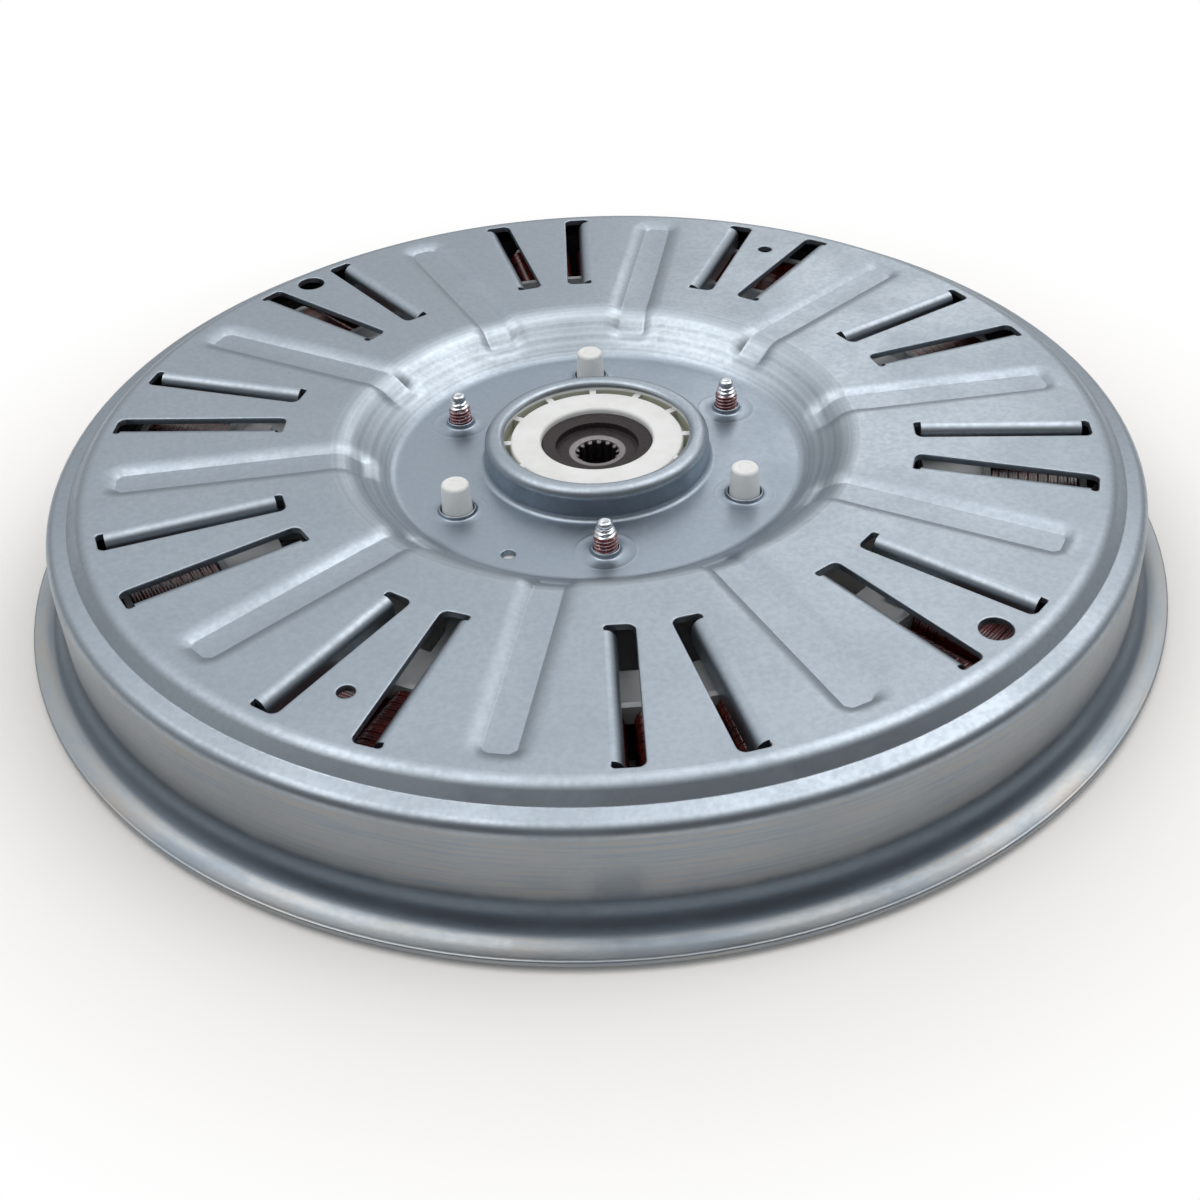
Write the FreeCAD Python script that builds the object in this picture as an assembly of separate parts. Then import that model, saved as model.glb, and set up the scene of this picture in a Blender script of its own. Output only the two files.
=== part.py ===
import FreeCAD, Part
import math
import os

# Direct-drive motor of a washing machine: a wound stator under its turning rotor cup.
# Millimetres. +Z is up along the drum shaft. The origin is on the shaft's axis, in the plane
# that the stator's six mounting bosses stand on. The viewer's side is -Y.

full_turn = 360.0
vertical = FreeCAD.Vector(0, 0, 1)
centre = FreeCAD.Vector(0, 0, 0)
front_angle = -90.0

# Rotor cup, pressed from one sheet of galvanised steel
sheet = 1.6
rim_clearance = 1.2          # surface to the underside of the rim
cup_height = 33.3            # underside of the rim to the top of the slotted disc
rim_radius = 146.6
wall_radius = 136.8
rim_fillet = 5.5
shoulder_roll = 3.4
step_drop = 3.6              # slotted disc down to the ledge round it
step_radius = 131.8          # at its foot
step_lean = 1.6              # foot out from the top
step_crease = 0.5
disc_roll = 5.3

# Dished centre of the cup
dish_radius = 64.6
dish_floor_radius = 53.0
dish_depth = 9.2
dish_knuckle = 9.0
dish_fillet = 4.0

# Rolled collar round the hub
collar_radius = 28.9
collar_rise = 8.5
collar_foot = 1.5
collar_roll = 2.6
mouth_radius = 24.3
mouth_roll = 2.0
mouth_drop = 2.2

# Vent slots, in pairs that mirror each other, each with one long edge folded down as a fan blade
pair_count = 10
slot_start = 81.2            # along the pair's centre line
slot_start_offset = 3.9
slot_length = 44.2
slot_skew = 6.9
slot_width = 6.9             # with the fold
slot_corner = 1.9
hook_corner = 0.8
relief = 1.8                 # notch beyond each end of the fold
blade_roll = 2.8
blade_drop = 6.0

# Stiffening grooves pressed into the disc between the pairs, running down into the dish
groove_depth = 1.35
groove_floor = 7.1
groove_slope = 4.2
groove_corner = 1.6
groove_end = 120.4
groove_run_down = 7.2        # along the side of the dish

# Round holes: gauge holes in the disc, a drain hole in the dish
gauge_hole_radius = 3.8
gauge_hole_place = 121.5
gauge_hole_pairs = (1, 6)
index_hole_radius = 2.0
index_hole_place = 112.8
index_hole_pairs = (4, 9)
drain_hole_radius = 1.7
drain_hole_place = 46.7
drain_hole_pair = 9

# Three bolts and three pins hold the bushing, turn about, on one circle
fastener_count = 3
fastener_circle = 41.4
bolt_angle = 24.0
bolt_tip_drop = 0.4          # slotted disc down to the tips of the bolts
bolt_radius = 2.95
bolt_clearance = 0.12
bolt_nose_radius = 2.0
bolt_nose = 1.7
bolt_nose_edge = 0.4
bolt_taper = 0.9
bolt_head_across = 10.0
bolt_head = 4.0
bolt_washer_radius = 6.5
bolt_washer = 1.2
bolt_collar_radius = 3.6
bolt_collar_rise = 1.3
pin_tip_drop = 1.0           # slotted disc down to the tops of the pins
pin_radius = 4.0
pin_top_radius = 3.45
pin_round = 0.9
pin_clearance = 0.25
pin_collar_radius = 4.75
pin_collar_rise = 1.0

# Moulded bushing between the cup and the splined insert
bushing_radius = 49.0
bushing_flange = 5.0
bushing_hub_radius = 22.0
bushing_foot = 5.0           # lower end above the surface
bushing_neck_clearance = 0.3
cap_radius = 22.3
cap_drop = 2.4               # crest of the collar down to the white cap
cap_round = 0.6
moat_depth = 3.9
moat_radius = 24.4
spoke_count = 12
spoke_width = 1.5
spoke_drop = 0.35
rib_width = 2.4
rib_depth = 5.0

# Sintered insert with the serrated bore for the drum shaft
insert_radius = 14.3
insert_gap = 0.1
insert_foot = 4.2
insert_drop = 1.3            # white cap down to the insert's edge
insert_cone_drop = 0.9
nut_seat_radius = 10.7
nut_seat_depth = 1.8
bore_ring_radius = 7.7
bore_ring_dip = 0.3
bore_radius = 5.7
serration_count = 14
serration_radius = 0.68
serration_place = 5.53
pilot_radius = 7.0
pilot_length = 7.8

# Magnets bonded to the inside of the cup's wall
magnet_count = 12
magnet_inner_radius = 129.8
magnet_bond = 0.15
magnet_gap_angle = 0.3
magnet_foot = 3.0            # above the underside of the rim
magnet_top_gap = 2.0         # below the underside of the ledge

# Stator core, wound edgewise from one strip and riveted
tooth_count = 36
air_gap = 0.9
core_foot = 8.3
core_height = 14.4
yoke_inner_radius = 86.0
yoke_outer_radius = 96.0
tooth_width = 8.0
shoe_width = 18.3
shoe_lip = 2.2
shoe_slope = 2.4
rivet_count = 9
rivet_radius = 1.6
rivet_clearance = 0.05
rivet_circle = 91.0

# Insulators above and below the core, each a ring of moulded segments butted end to end
segment_count = 18
cover = 0.9
ring_inner_radius = 84.0
coil_wall_radius = 98.6
coil_wall = 1.6
skirt_depth = 4.0
skirt_gap = 0.2
bobbin_wall_place = 121.9
bobbin_wall = 1.6
bobbin_wall_width = 16.0
bobbin_wall_round = 3.0
bobbin_wall_foot_round = 0.4
coil_build = 3.3             # end turns above the cover
wall_over_coil = 0.5
guide_width = 5.0
guide_depth = 5.0
guide_height = 2.0
guide_place = 92.5

# Coils, three phases in turn
phase_count = 3
coil_clearance = 0.15
coil_end_gap = 0.3
coil_side_inner = 2.8
coil_side_outer = 4.4
coil_round = 2.6

# Mounting bosses with steel sleeves
boss_count = 6
boss_circle = 72.0
boss_radius = 8.5
boss_first_angle = 0.0
lug_width = 15.0
sleeve_radius = 5.2
sleeve_bore = 3.3
sleeve_fit = 0.1
boss_gap = 0.3               # between the upper and lower halves of a boss

# Sockets for the leads, on the underside of the stator's inner ring
socket_angle = 90.0
socket_width = 34.0
socket_depth = 15.0
socket_height = 13.0
socket_wall = 1.8
socket_floor = 2.5
socket_place = 70.5
socket_foot = 1.0
terminal_count = 3
terminal_width = 6.3
terminal_thickness = 0.8
terminal_pitch = 9.5
terminal_length = 8.5
terminal_fit = 0.05

# Position sensor: a tray under the coils, with a board, three Hall sensors and a socket of its own
sensor_angle = 155.0
sensor_count = 3
tray_width = 50.0
tray_inner = 101.0
tray_outer = 124.6
tray_foot = 0.6
tray_wall = 1.2
seat_gap = 0.1
board_height = 1.0
board_gap = 0.25
hall_width = 3.0
hall_thickness = 1.5
hall_height = 7.0
finger_width = 5.0
sensor_socket_width = 18.0
sensor_socket_length = 14.0
sensor_socket_height = 8.0
sensor_neck_width = 40.0
sensor_pin_count = 5
sensor_pin = 0.64
sensor_pin_pitch = 2.5
sensor_pin_length = 8.0
screw_post_radius = 4.0
screw_boss_radius = 3.0
screw_radius = 1.2
screw_grip = 3.3
screw_head_radius = 2.5
screw_head = 1.2
screw_fit = 0.05
screw_head_fit = 0.25

# Heights and radii that follow from the sizes above
rim_under = rim_clearance
disc_top = rim_under + cup_height
ledge_top = disc_top - step_drop
dish_top = disc_top - dish_depth
dish_under = dish_top - sheet
crest = dish_top + collar_rise
wall_inside = wall_radius - sheet
bolt_tip = disc_top - bolt_tip_drop
pin_tip = disc_top - pin_tip_drop
fastener_step = full_turn / fastener_count
pin_angle = bolt_angle + fastener_step / 2
flange_under = dish_under - bushing_flange
cap_top = crest - cap_drop
core_top = core_foot + core_height
stator_radius = magnet_inner_radius - air_gap
coil_top = core_top + cover + coil_build
coil_foot = core_foot - cover - coil_build
pair_step = full_turn / pair_count
tooth_step = full_turn / tooth_count
wall_top = coil_top + wall_over_coil
wall_foot = coil_foot - wall_over_coil
tray_top = wall_foot - seat_gap
hall_place = stator_radius - hall_thickness
socket_back = socket_place + socket_depth - socket_floor - socket_wall
core_middle = (core_foot + core_top) / 2
sensor_socket_place = ring_inner_radius - sensor_socket_length
sensor_socket_back = ring_inner_radius - 2 * tray_wall


def polar(radius, angle, z=0.0):
    turn = math.radians(angle)
    return FreeCAD.Vector(radius * math.cos(turn), radius * math.sin(turn), z)


def turned(shape, angle):
    copy = shape.copy()
    copy.rotate(centre, vertical, angle)
    return copy


def ring_of(shape, count, first=0.0):
    """Copies of a shape, evenly spaced about the shaft's axis."""
    return [turned(shape, first + full_turn * i / count) for i in range(count)]


def cylinder(radius, z_low, z_high, place=0.0, angle=0.0):
    return Part.makeCylinder(radius, z_high - z_low, polar(place, angle, z_low))


def fastener_copies(shape, angle):
    """Copies of a shape that stands on the shaft's axis, on the circle of the bolts and pins."""
    copies = []
    for i in range(fastener_count):
        copy = shape.copy()
        copy.translate(polar(fastener_circle, angle + i * fastener_step))
        copies.append(copy)
    return copies


def block(x_low, x_high, width, z_low, z_high):
    """A box along +X that is centred on the XZ plane."""
    corner = FreeCAD.Vector(x_low, -width / 2, z_low)
    return Part.makeBox(x_high - x_low, width, z_high - z_low, corner)


def spun(points):
    """A solid of revolution from the half section given as (radius, z) points."""
    section = [FreeCAD.Vector(r, 0, z) for r, z in points]
    face = Part.Face(Part.makePolygon(section + section[:1]))
    return face.revolve(centre, vertical, full_turn)


def tube(inner, outer, z_low, z_high):
    return spun([(inner, z_low), (outer, z_low), (outer, z_high), (inner, z_high)])


def rounded_path(corners):
    """Edges through (x, z, radius) corners, each corner rounded by a tangent arc."""
    points = [FreeCAD.Vector(x, 0, z) for x, z, radius in corners]
    edges = []
    start = points[0]
    for before, here, after, corner in zip(points, points[1:], points[2:], corners[1:]):
        towards = (before - here).normalize()
        onwards = (after - here).normalize()
        opening = towards.getAngle(onwards)
        run = corner[2] / math.tan(opening / 2)
        inwards = (towards + onwards).normalize()
        middle = here + inwards * (corner[2] / math.sin(opening / 2) - corner[2])
        arc_start = here + towards * run
        arc_end = here + onwards * run
        edges.append(Part.LineSegment(start, arc_start).toShape())
        edges.append(Part.Arc(arc_start, middle, arc_end).toShape())
        start = arc_end
    edges.append(Part.LineSegment(start, points[-1]).toShape())
    return edges


def offset_corners(corners, distance):
    """The same path moved to its left by a distance, with the radii that keep the wall even."""
    def left(a, b):
        length = math.hypot(b[0] - a[0], b[1] - a[1])
        return ((a[1] - b[1]) / length, (b[0] - a[0]) / length)

    moved = []
    last = len(corners) - 1
    for i, (x, z, radius) in enumerate(corners):
        n1 = left(corners[max(i - 1, 0)], corners[max(i, 1)])
        n2 = left(corners[min(i, last - 1)], corners[min(i + 1, last)])
        scale = distance / (1 + n1[0] * n2[0] + n1[1] * n2[1])
        turn = n1[0] * n2[1] - n1[1] * n2[0]
        grown = radius - math.copysign(distance, turn) if radius else 0.0
        moved.append((x + scale * (n1[0] + n2[0]), z + scale * (n1[1] + n2[1]), grown))
    return moved


def joined(edges):
    return Part.Wire(Part.__sortEdges__(edges))


def cup_corners():
    """The cup's upper skin from the rim to the mouth of the collar: radius, height, rounding."""
    return [
        (rim_radius, rim_under + sheet, 0),
        (wall_radius, rim_under + sheet, rim_fillet),
        (wall_radius, ledge_top, shoulder_roll),
        (step_radius, ledge_top, step_crease),
        (step_radius - step_lean, disc_top, disc_roll),
        (dish_radius, disc_top, dish_knuckle),
        (dish_floor_radius, dish_top, dish_fillet),
        (collar_radius, dish_top, collar_foot),
        (collar_radius, crest, collar_roll),
        (mouth_radius, crest, mouth_roll),
        (mouth_radius, crest - mouth_drop, 0),
    ]


def plain_cup():
    upper = cup_corners()
    lower = offset_corners(upper, sheet)
    skin = rounded_path(upper)
    back = rounded_path(lower)
    ends = [Part.LineSegment(FreeCAD.Vector(a[0], 0, a[1]), FreeCAD.Vector(b[0], 0, b[1])).toShape()
            for a, b in ((upper[0], lower[0]), (upper[-1], lower[-1]))]
    section = Part.Face(joined(skin + back + ends))
    return section.revolve(centre, vertical, full_turn)


def under_skin():
    """Everything below the cup's upper skin, down to the surface."""
    upper = cup_corners()
    skin = rounded_path(upper)
    low = [FreeCAD.Vector(upper[-1][0], 0, upper[-1][1]), FreeCAD.Vector(upper[-1][0], 0, 0),
           FreeCAD.Vector(upper[0][0], 0, 0), FreeCAD.Vector(upper[0][0], 0, upper[0][1])]
    ends = [Part.LineSegment(a, b).toShape() for a, b in zip(low, low[1:])]
    return Part.Face(joined(skin + ends)).revolve(centre, vertical, full_turn)


def rounded_rectangle(x_low, x_high, width, corner, z):
    """A closed wire in a level plane. One corner radius serves all four corners."""
    half = width / 2
    corners = [((x_low + x_high) / 2, -half, 0), (x_high, -half, corner), (x_high, half, corner),
               (x_low, half, corner), (x_low, -half, corner), ((x_low + x_high) / 2, -half, 0)]
    wire = joined(rounded_path(corners))
    wire.rotate(centre, FreeCAD.Vector(1, 0, 0), full_turn / 4)
    wire.translate(FreeCAD.Vector(0, 0, z))
    return wire


def tapered_bar(x_low, x_high, z_floor, z_top, spread_per_mm):
    """A bar with a flat floor whose sides lean outwards by spread_per_mm for each mm of height."""
    spread = (z_top - z_floor) * spread_per_mm
    floor = rounded_rectangle(x_low, x_high, groove_floor, groove_corner, z_floor)
    top = rounded_rectangle(x_low - spread, x_high + spread, groove_floor + 2 * spread,
                            groove_corner + spread, z_top)
    return Part.makeLoft([floor, top], True, True)


def groove_bars(sink, headroom):
    """The groove's two legs, on the disc and down the dish, sunk by a distance below the floor."""
    lean = groove_slope / groove_depth
    floor = -groove_depth - sink
    fall = math.atan2(dish_depth, dish_radius - dish_floor_radius)
    past_knuckle = groove_depth + sheet
    level = tapered_bar(dish_radius - 2 * past_knuckle, groove_end, floor, headroom, lean)
    level.translate(FreeCAD.Vector(0, 0, disc_top))
    falling = tapered_bar(-groove_run_down, past_knuckle, floor, headroom, lean)
    falling.rotate(centre, FreeCAD.Vector(0, 1, 0), -math.degrees(fall))
    falling.translate(FreeCAD.Vector(dish_radius, 0, disc_top))
    return level, falling


def slot_frame(shape):
    """Moves a shape from the slot's own corner to its place in the pair on +X."""
    shape.rotate(centre, vertical, slot_skew)
    shape.translate(FreeCAD.Vector(slot_start, slot_start_offset, 0))
    return shape


def slot_opening():
    corners = [(slot_length / 2, 0, 0), (slot_length, 0, slot_corner),
               (slot_length, slot_width, hook_corner), (0, slot_width, hook_corner),
               (0, 0, slot_corner), (slot_length / 2, 0, 0)]
    wire = joined(rounded_path(corners))
    wire.rotate(centre, FreeCAD.Vector(1, 0, 0), -full_turn / 4)
    wire.translate(FreeCAD.Vector(0, 0, disc_top + sheet))
    return slot_frame(Part.Face(wire).extrude(FreeCAD.Vector(0, 0, -3 * sheet)))


def fan_blade():
    """The slot's long edge, rolled down by a quarter turn into a short straight blade."""
    root = slot_width + sheet
    face_at = slot_width - blade_roll
    bend = disc_top - blade_roll
    tip = disc_top - blade_drop

    def at(across, z):
        return FreeCAD.Vector(0, across, z)

    def bend_arc(radius):
        diagonal = radius * math.sqrt(0.5)
        return Part.Arc(at(slot_width, bend + radius), at(slot_width - diagonal, bend + diagonal),
                        at(slot_width - radius, bend)).toShape()

    back_at = face_at + sheet
    under = disc_top - sheet
    lines = [(at(root, disc_top), at(slot_width, disc_top)), (at(face_at, bend), at(face_at, tip)),
             (at(face_at, tip), at(back_at, tip)), (at(back_at, tip), at(back_at, bend)),
             (at(slot_width, under), at(root, under)), (at(root, under), at(root, disc_top))]
    edges = [Part.LineSegment(a, b).toShape() for a, b in lines]
    edges += [bend_arc(blade_roll), bend_arc(blade_roll - sheet)]
    blade = Part.Face(joined(edges)).extrude(FreeCAD.Vector(slot_length - 2 * relief, 0, 0))
    blade.translate(FreeCAD.Vector(relief, 0, 0))
    return slot_frame(blade)


def both_sides(shape):
    return [shape, shape.mirror(centre, FreeCAD.Vector(0, 1, 0))]


def round_pair_places(pairs, place):
    return [(place, front_angle + pair * pair_step) for pair in pairs]


def rotor_cup():
    cup = plain_cup()
    skin = under_skin()
    bulges = [bar.common(skin) for bar in groove_bars(sheet, 0)]
    bulge = bulges[0].fuse(bulges[1])
    between = front_angle + pair_step / 2
    cup = cup.fuse(ring_of(bulge, pair_count, between))
    grooves = [turned(bar, between + i * pair_step) for i in range(pair_count)
               for bar in groove_bars(0, groove_depth)]
    cup = cup.cut(grooves)

    slots = both_sides(slot_opening())
    blades = both_sides(fan_blade())
    cup = cup.cut([each for slot in slots for each in ring_of(slot, pair_count, front_angle)])
    cup = cup.fuse([each for blade in blades for each in ring_of(blade, pair_count, front_angle)])

    middle = dish_top - sheet / 2
    bolt_collar = cylinder(bolt_collar_radius, middle, dish_top + bolt_collar_rise)
    pin_collar = cylinder(pin_collar_radius, middle, dish_top + pin_collar_rise)
    cup = cup.fuse(fastener_copies(bolt_collar, bolt_angle) + fastener_copies(pin_collar, pin_angle))
    low = dish_under - sheet
    high = disc_top + sheet
    holes = fastener_copies(cylinder(bolt_radius + bolt_clearance, low, high), bolt_angle)
    holes += fastener_copies(cylinder(pin_radius + pin_clearance, low, high), pin_angle)
    for radius, places in ((gauge_hole_radius, round_pair_places(gauge_hole_pairs, gauge_hole_place)),
                           (index_hole_radius, round_pair_places(index_hole_pairs, index_hole_place)),
                           (drain_hole_radius, round_pair_places((drain_hole_pair,), drain_hole_place))):
        holes += [cylinder(radius, low, high, place, angle) for place, angle in places]
    return cup.cut(holes)


def magnet():
    """One magnet of the ring, centred on +X, with its outer face on the cup's wall."""
    half = full_turn / magnet_count / 2 - magnet_gap_angle
    low = rim_under + magnet_foot
    high = ledge_top - sheet - magnet_top_gap
    section = [(magnet_inner_radius, low), (wall_inside - magnet_bond, low),
               (wall_inside - magnet_bond, high), (magnet_inner_radius, high)]
    points = [FreeCAD.Vector(r, 0, z) for r, z in section]
    face = Part.Face(Part.makePolygon(points + points[:1]))
    return turned(face.revolve(centre, vertical, 2 * half), -half)


def hub_bushing():
    """White moulding: a flange under the dish, a hub, a cap inside the collar, three locating pins."""
    neck = collar_radius - sheet - bushing_neck_clearance
    bore = insert_radius + insert_gap
    moat_floor = cap_top - moat_depth
    neck_top = crest - mouth_drop - bushing_neck_clearance
    body = spun([
        (bore, bushing_foot), (bushing_hub_radius, bushing_foot), (bushing_hub_radius, flange_under),
        (bushing_radius, flange_under), (bushing_radius, dish_under), (neck, dish_under), (neck, neck_top),
        (moat_radius, neck_top), (moat_radius, moat_floor), (cap_radius, moat_floor),
        (cap_radius, cap_top - cap_round), (cap_radius - cap_round, cap_top),
        (bore + cap_round, cap_top), (bore, cap_top - cap_round)])
    spoke = block(cap_radius - 1, moat_radius + 1, spoke_width, moat_floor - 1, cap_top - spoke_drop)
    rib_foot = flange_under - rib_depth
    rib = block(bushing_hub_radius - 1, bushing_radius, rib_width, rib_foot, flange_under + 1)
    under_ribs = spun([(bushing_hub_radius, rib_foot - 1), (bushing_radius + 1, rib_foot - 1),
                       (bushing_radius + 1, flange_under), (bushing_hub_radius, rib_foot)])
    body = body.fuse(ring_of(spoke, spoke_count, bolt_angle))
    body = body.fuse(ring_of(rib.cut(under_ribs), spoke_count, bolt_angle + full_turn / spoke_count / 2))
    pin_foot = dish_under - 1
    pin = Part.makeCone(pin_radius, pin_top_radius, pin_tip - pin_foot, FreeCAD.Vector(0, 0, pin_foot))
    top_edges = [edge for edge in pin.Edges if edge.BoundBox.ZMin > pin_tip - sheet]
    pin = pin.makeFillet(pin_round, top_edges[:1])
    hole = cylinder(bolt_radius + 2 * bolt_clearance, rib_foot, dish_under + 1)
    return body.fuse(fastener_copies(pin, pin_angle)).cut(fastener_copies(hole, bolt_angle))


def splined_insert():
    """Sintered steel insert: serrated bore, a seat for the shaft's nut above, a plain pilot below."""
    edge_top = cap_top - insert_drop
    seat_top = edge_top - insert_cone_drop
    seat = seat_top - nut_seat_depth
    spline_low = insert_foot + pilot_length
    body = spun([
        (pilot_radius, insert_foot), (insert_radius, insert_foot), (insert_radius, edge_top),
        (nut_seat_radius, seat_top), (nut_seat_radius, seat), (bore_ring_radius, seat),
        (bore_radius, seat - bore_ring_dip), (bore_radius, spline_low), (pilot_radius, spline_low)])
    tooth = cylinder(serration_radius, spline_low, seat - bore_ring_dip - serration_radius, serration_place)
    return body.fuse(ring_of(tooth, serration_count))


def hexagon(across, z_low, height):
    sides = 6
    corners = [polar(across / math.sqrt(3), full_turn * i / sides, z_low) for i in range(sides)]
    return Part.Face(Part.makePolygon(corners + corners[:1])).extrude(FreeCAD.Vector(0, 0, height))


def hub_bolts():
    """Flanged hexagon bolts from below; their noses stand out of the threaded collars of the dish."""
    shank = spun([(0, flange_under - 1), (bolt_radius, flange_under - 1),
                  (bolt_radius, bolt_tip - bolt_nose - bolt_taper),
                  (bolt_nose_radius, bolt_tip - bolt_nose),
                  (bolt_nose_radius, bolt_tip - bolt_nose_edge),
                  (bolt_nose_radius - bolt_nose_edge, bolt_tip), (0, bolt_tip)])
    washer = cylinder(bolt_washer_radius, flange_under - bolt_washer, flange_under)
    head = hexagon(bolt_head_across, flange_under - bolt_head, bolt_head - bolt_washer / 2)
    return Part.makeCompound(fastener_copies(shank.fuse([washer, head]), bolt_angle))


def stator_core():
    """The toothed ring: yoke inside, 36 teeth outwards, each with a shoe that faces the magnets."""
    edges = []
    half_tooth = tooth_width / 2
    half_shoe = shoe_width / 2
    shoe_side = math.sqrt(stator_radius ** 2 - half_shoe ** 2)
    root = math.sqrt(yoke_outer_radius ** 2 - half_tooth ** 2)
    throat = shoe_side - shoe_lip - shoe_slope
    outline = [(root, -half_tooth), (throat, -half_tooth), (shoe_side - shoe_lip, -half_shoe),
               (shoe_side, -half_shoe)]
    for i in range(tooth_count):
        angle = i * tooth_step

        def placed(x, y):
            point = FreeCAD.Vector(x, y, 0)
            return FreeCAD.Rotation(vertical, angle).multVec(point)

        right = [placed(x, y) for x, y in outline]
        left = [placed(x, -y) for x, y in reversed(outline)]
        for a, b in list(zip(right, right[1:])) + list(zip(left, left[1:])):
            edges.append(Part.LineSegment(a, b).toShape())
        edges.append(Part.Arc(right[-1], polar(stator_radius, angle), left[0]).toShape())
        after = FreeCAD.Rotation(vertical, tooth_step).multVec(right[0])
        edges.append(Part.Arc(left[-1], polar(yoke_outer_radius, angle + tooth_step / 2), after).toShape())
    blank = Part.Face(joined(edges))
    blank.translate(FreeCAD.Vector(0, 0, core_foot))
    core = blank.extrude(FreeCAD.Vector(0, 0, core_height))
    bore = cylinder(yoke_inner_radius, core_foot, core_top)
    return core.cut([bore] + rivet_solids(rivet_radius + rivet_clearance))


def rivet_solids(radius):
    rivet = cylinder(radius, core_foot, core_top, rivet_circle)
    return ring_of(rivet, rivet_count, tooth_step / 2)


def insulator_ring():
    """The upper insulator's ring, on the core's upper face."""
    top = core_top + cover
    ring = spun([
        (ring_inner_radius, core_top - skirt_depth), (yoke_inner_radius - skirt_gap, core_top - skirt_depth),
        (yoke_inner_radius - skirt_gap, core_top), (coil_wall_radius + coil_wall, core_top),
        (coil_wall_radius + coil_wall, wall_top), (coil_wall_radius, wall_top), (coil_wall_radius, top),
        (ring_inner_radius, top)])
    tooth = block(coil_wall_radius + coil_wall / 2, bobbin_wall_place + bobbin_wall, tooth_width + 2 * cover,
                  core_top, top)
    half = bobbin_wall_width / 2
    foot_round = bobbin_wall_foot_round
    plate_corners = [(0, core_top, 0), (half, core_top, foot_round), (half, wall_top, bobbin_wall_round),
                     (-half, wall_top, bobbin_wall_round), (-half, core_top, foot_round), (0, core_top, 0)]
    plate = Part.Face(joined(rounded_path(plate_corners))).extrude(FreeCAD.Vector(0, bobbin_wall, 0))
    plate.rotate(centre, vertical, -full_turn / 4)
    plate.translate(FreeCAD.Vector(bobbin_wall_place, 0, 0))
    guide = block(guide_place - guide_depth / 2, guide_place + guide_depth / 2, guide_width,
                  core_top + cover / 2, top + guide_height)
    bobbin = tooth.fuse([plate, guide])
    return ring.fuse(ring_of(bobbin, tooth_count))


def ring_segments(ring):
    """The ring as its separate mouldings, which meet midway between two teeth."""
    wedge = Part.makeCylinder(stator_radius, disc_top, centre, vertical, full_turn / segment_count)
    segments = []
    for place in ring_of(wedge, segment_count, -tooth_step / 2):
        segments += ring.common(place).Solids
    return Part.makeCompound(segments)


def mounting_bosses(z_low, z_high):
    """Mounting bosses and their lugs, between two heights; the lugs end on the insulator's inner face."""
    boss = cylinder(boss_radius, z_low, z_high, boss_circle)
    lug_low = max(z_low, core_foot - cover)
    lug_high = min(z_high, core_top + cover)
    lug = block(boss_circle, ring_inner_radius + 1, lug_width, lug_low, lug_high)
    hole = cylinder(sleeve_radius + sleeve_fit, z_low - 1, z_high + 1, boss_circle)
    boss = boss.fuse(lug).cut(hole).common(cylinder(ring_inner_radius, z_low, z_high))
    return Part.makeCompound(ring_of(boss, boss_count, boss_first_angle))


def socket_housing():
    """The open-fronted socket for the motor leads, on the shaft's side of the ring."""
    socket_top = socket_foot + socket_height
    outer = block(socket_place, ring_inner_radius + 1, socket_width, socket_foot, socket_top)
    outer = outer.common(cylinder(ring_inner_radius, socket_foot, socket_top))
    inner = block(socket_place - 1, socket_back, socket_width - 2 * socket_wall,
                  socket_foot + socket_wall, socket_top - socket_wall)
    return turned(outer.cut(inner), socket_angle).cut(terminal_blades(terminal_fit))


def terminal_blades(grow=0.0):
    """Tab terminals that stand in the socket's floor and point at the shaft."""
    middle = socket_foot + socket_height / 2
    half = terminal_thickness / 2 + grow
    blades = []
    for i in range(terminal_count):
        blade = block(socket_back - terminal_length, socket_back + socket_floor, terminal_width + 2 * grow,
                      middle - half, middle + half)
        blade.translate(FreeCAD.Vector(0, (i - (terminal_count - 1) / 2) * terminal_pitch, 0))
        blades.append(turned(blade, socket_angle))
    return blades


def screw_places():
    return [polar(guide_place, sensor_angle + side * tooth_step) for side in (-1, 1)]


def lower_insulator():
    ring = insulator_ring().mirror(FreeCAD.Vector(0, 0, core_middle), vertical)
    screw_bosses = []
    pilots = []
    for place in screw_places():
        boss = cylinder(screw_boss_radius, wall_foot, core_foot - cover / 2)
        pilot = cylinder(screw_radius + screw_fit, wall_foot - 1, wall_foot + screw_grip + screw_fit)
        boss.translate(place)
        pilot.translate(place)
        screw_bosses.append(boss)
        pilots.append(pilot)
    return ring_segments(ring.fuse(screw_bosses).cut(terminal_blades(terminal_fit) + pilots))


def coil():
    """One coil round the tooth on +X: it widens outwards as the slot does."""
    start = coil_wall_radius + coil_wall + coil_end_gap
    end = bobbin_wall_place - coil_end_gap
    window_width = tooth_width + 2 * cover + 2 * coil_clearance
    window_low = core_foot - cover - coil_clearance
    window_high = core_top + cover + coil_clearance

    def turn_at(x, side):
        half = window_width / 2 + side
        corners = [(0, coil_foot, 0), (half, coil_foot, coil_round), (half, coil_top, coil_round),
                   (-half, coil_top, coil_round), (-half, coil_foot, coil_round), (0, coil_foot, 0)]
        wire = joined(rounded_path(corners))
        wire.rotate(centre, vertical, full_turn / 4)
        wire.translate(FreeCAD.Vector(x, 0, 0))
        return wire

    wound = Part.makeLoft([turn_at(start, coil_side_inner), turn_at(end, coil_side_outer)], True, True)
    return wound.cut(block(start - 1, end + 1, window_width, window_low, window_high))


def winding(phase):
    """The coils of one phase, on every third tooth."""
    one = coil()
    return Part.makeCompound([turned(one, i * tooth_step) for i in range(phase, tooth_count, phase_count)])


def mounting_sleeves():
    sleeve = tube(sleeve_bore, sleeve_radius, 0, core_top + cover)
    sleeve.translate(polar(boss_circle, 0))
    return Part.makeCompound(ring_of(sleeve, boss_count, boss_first_angle))


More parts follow.
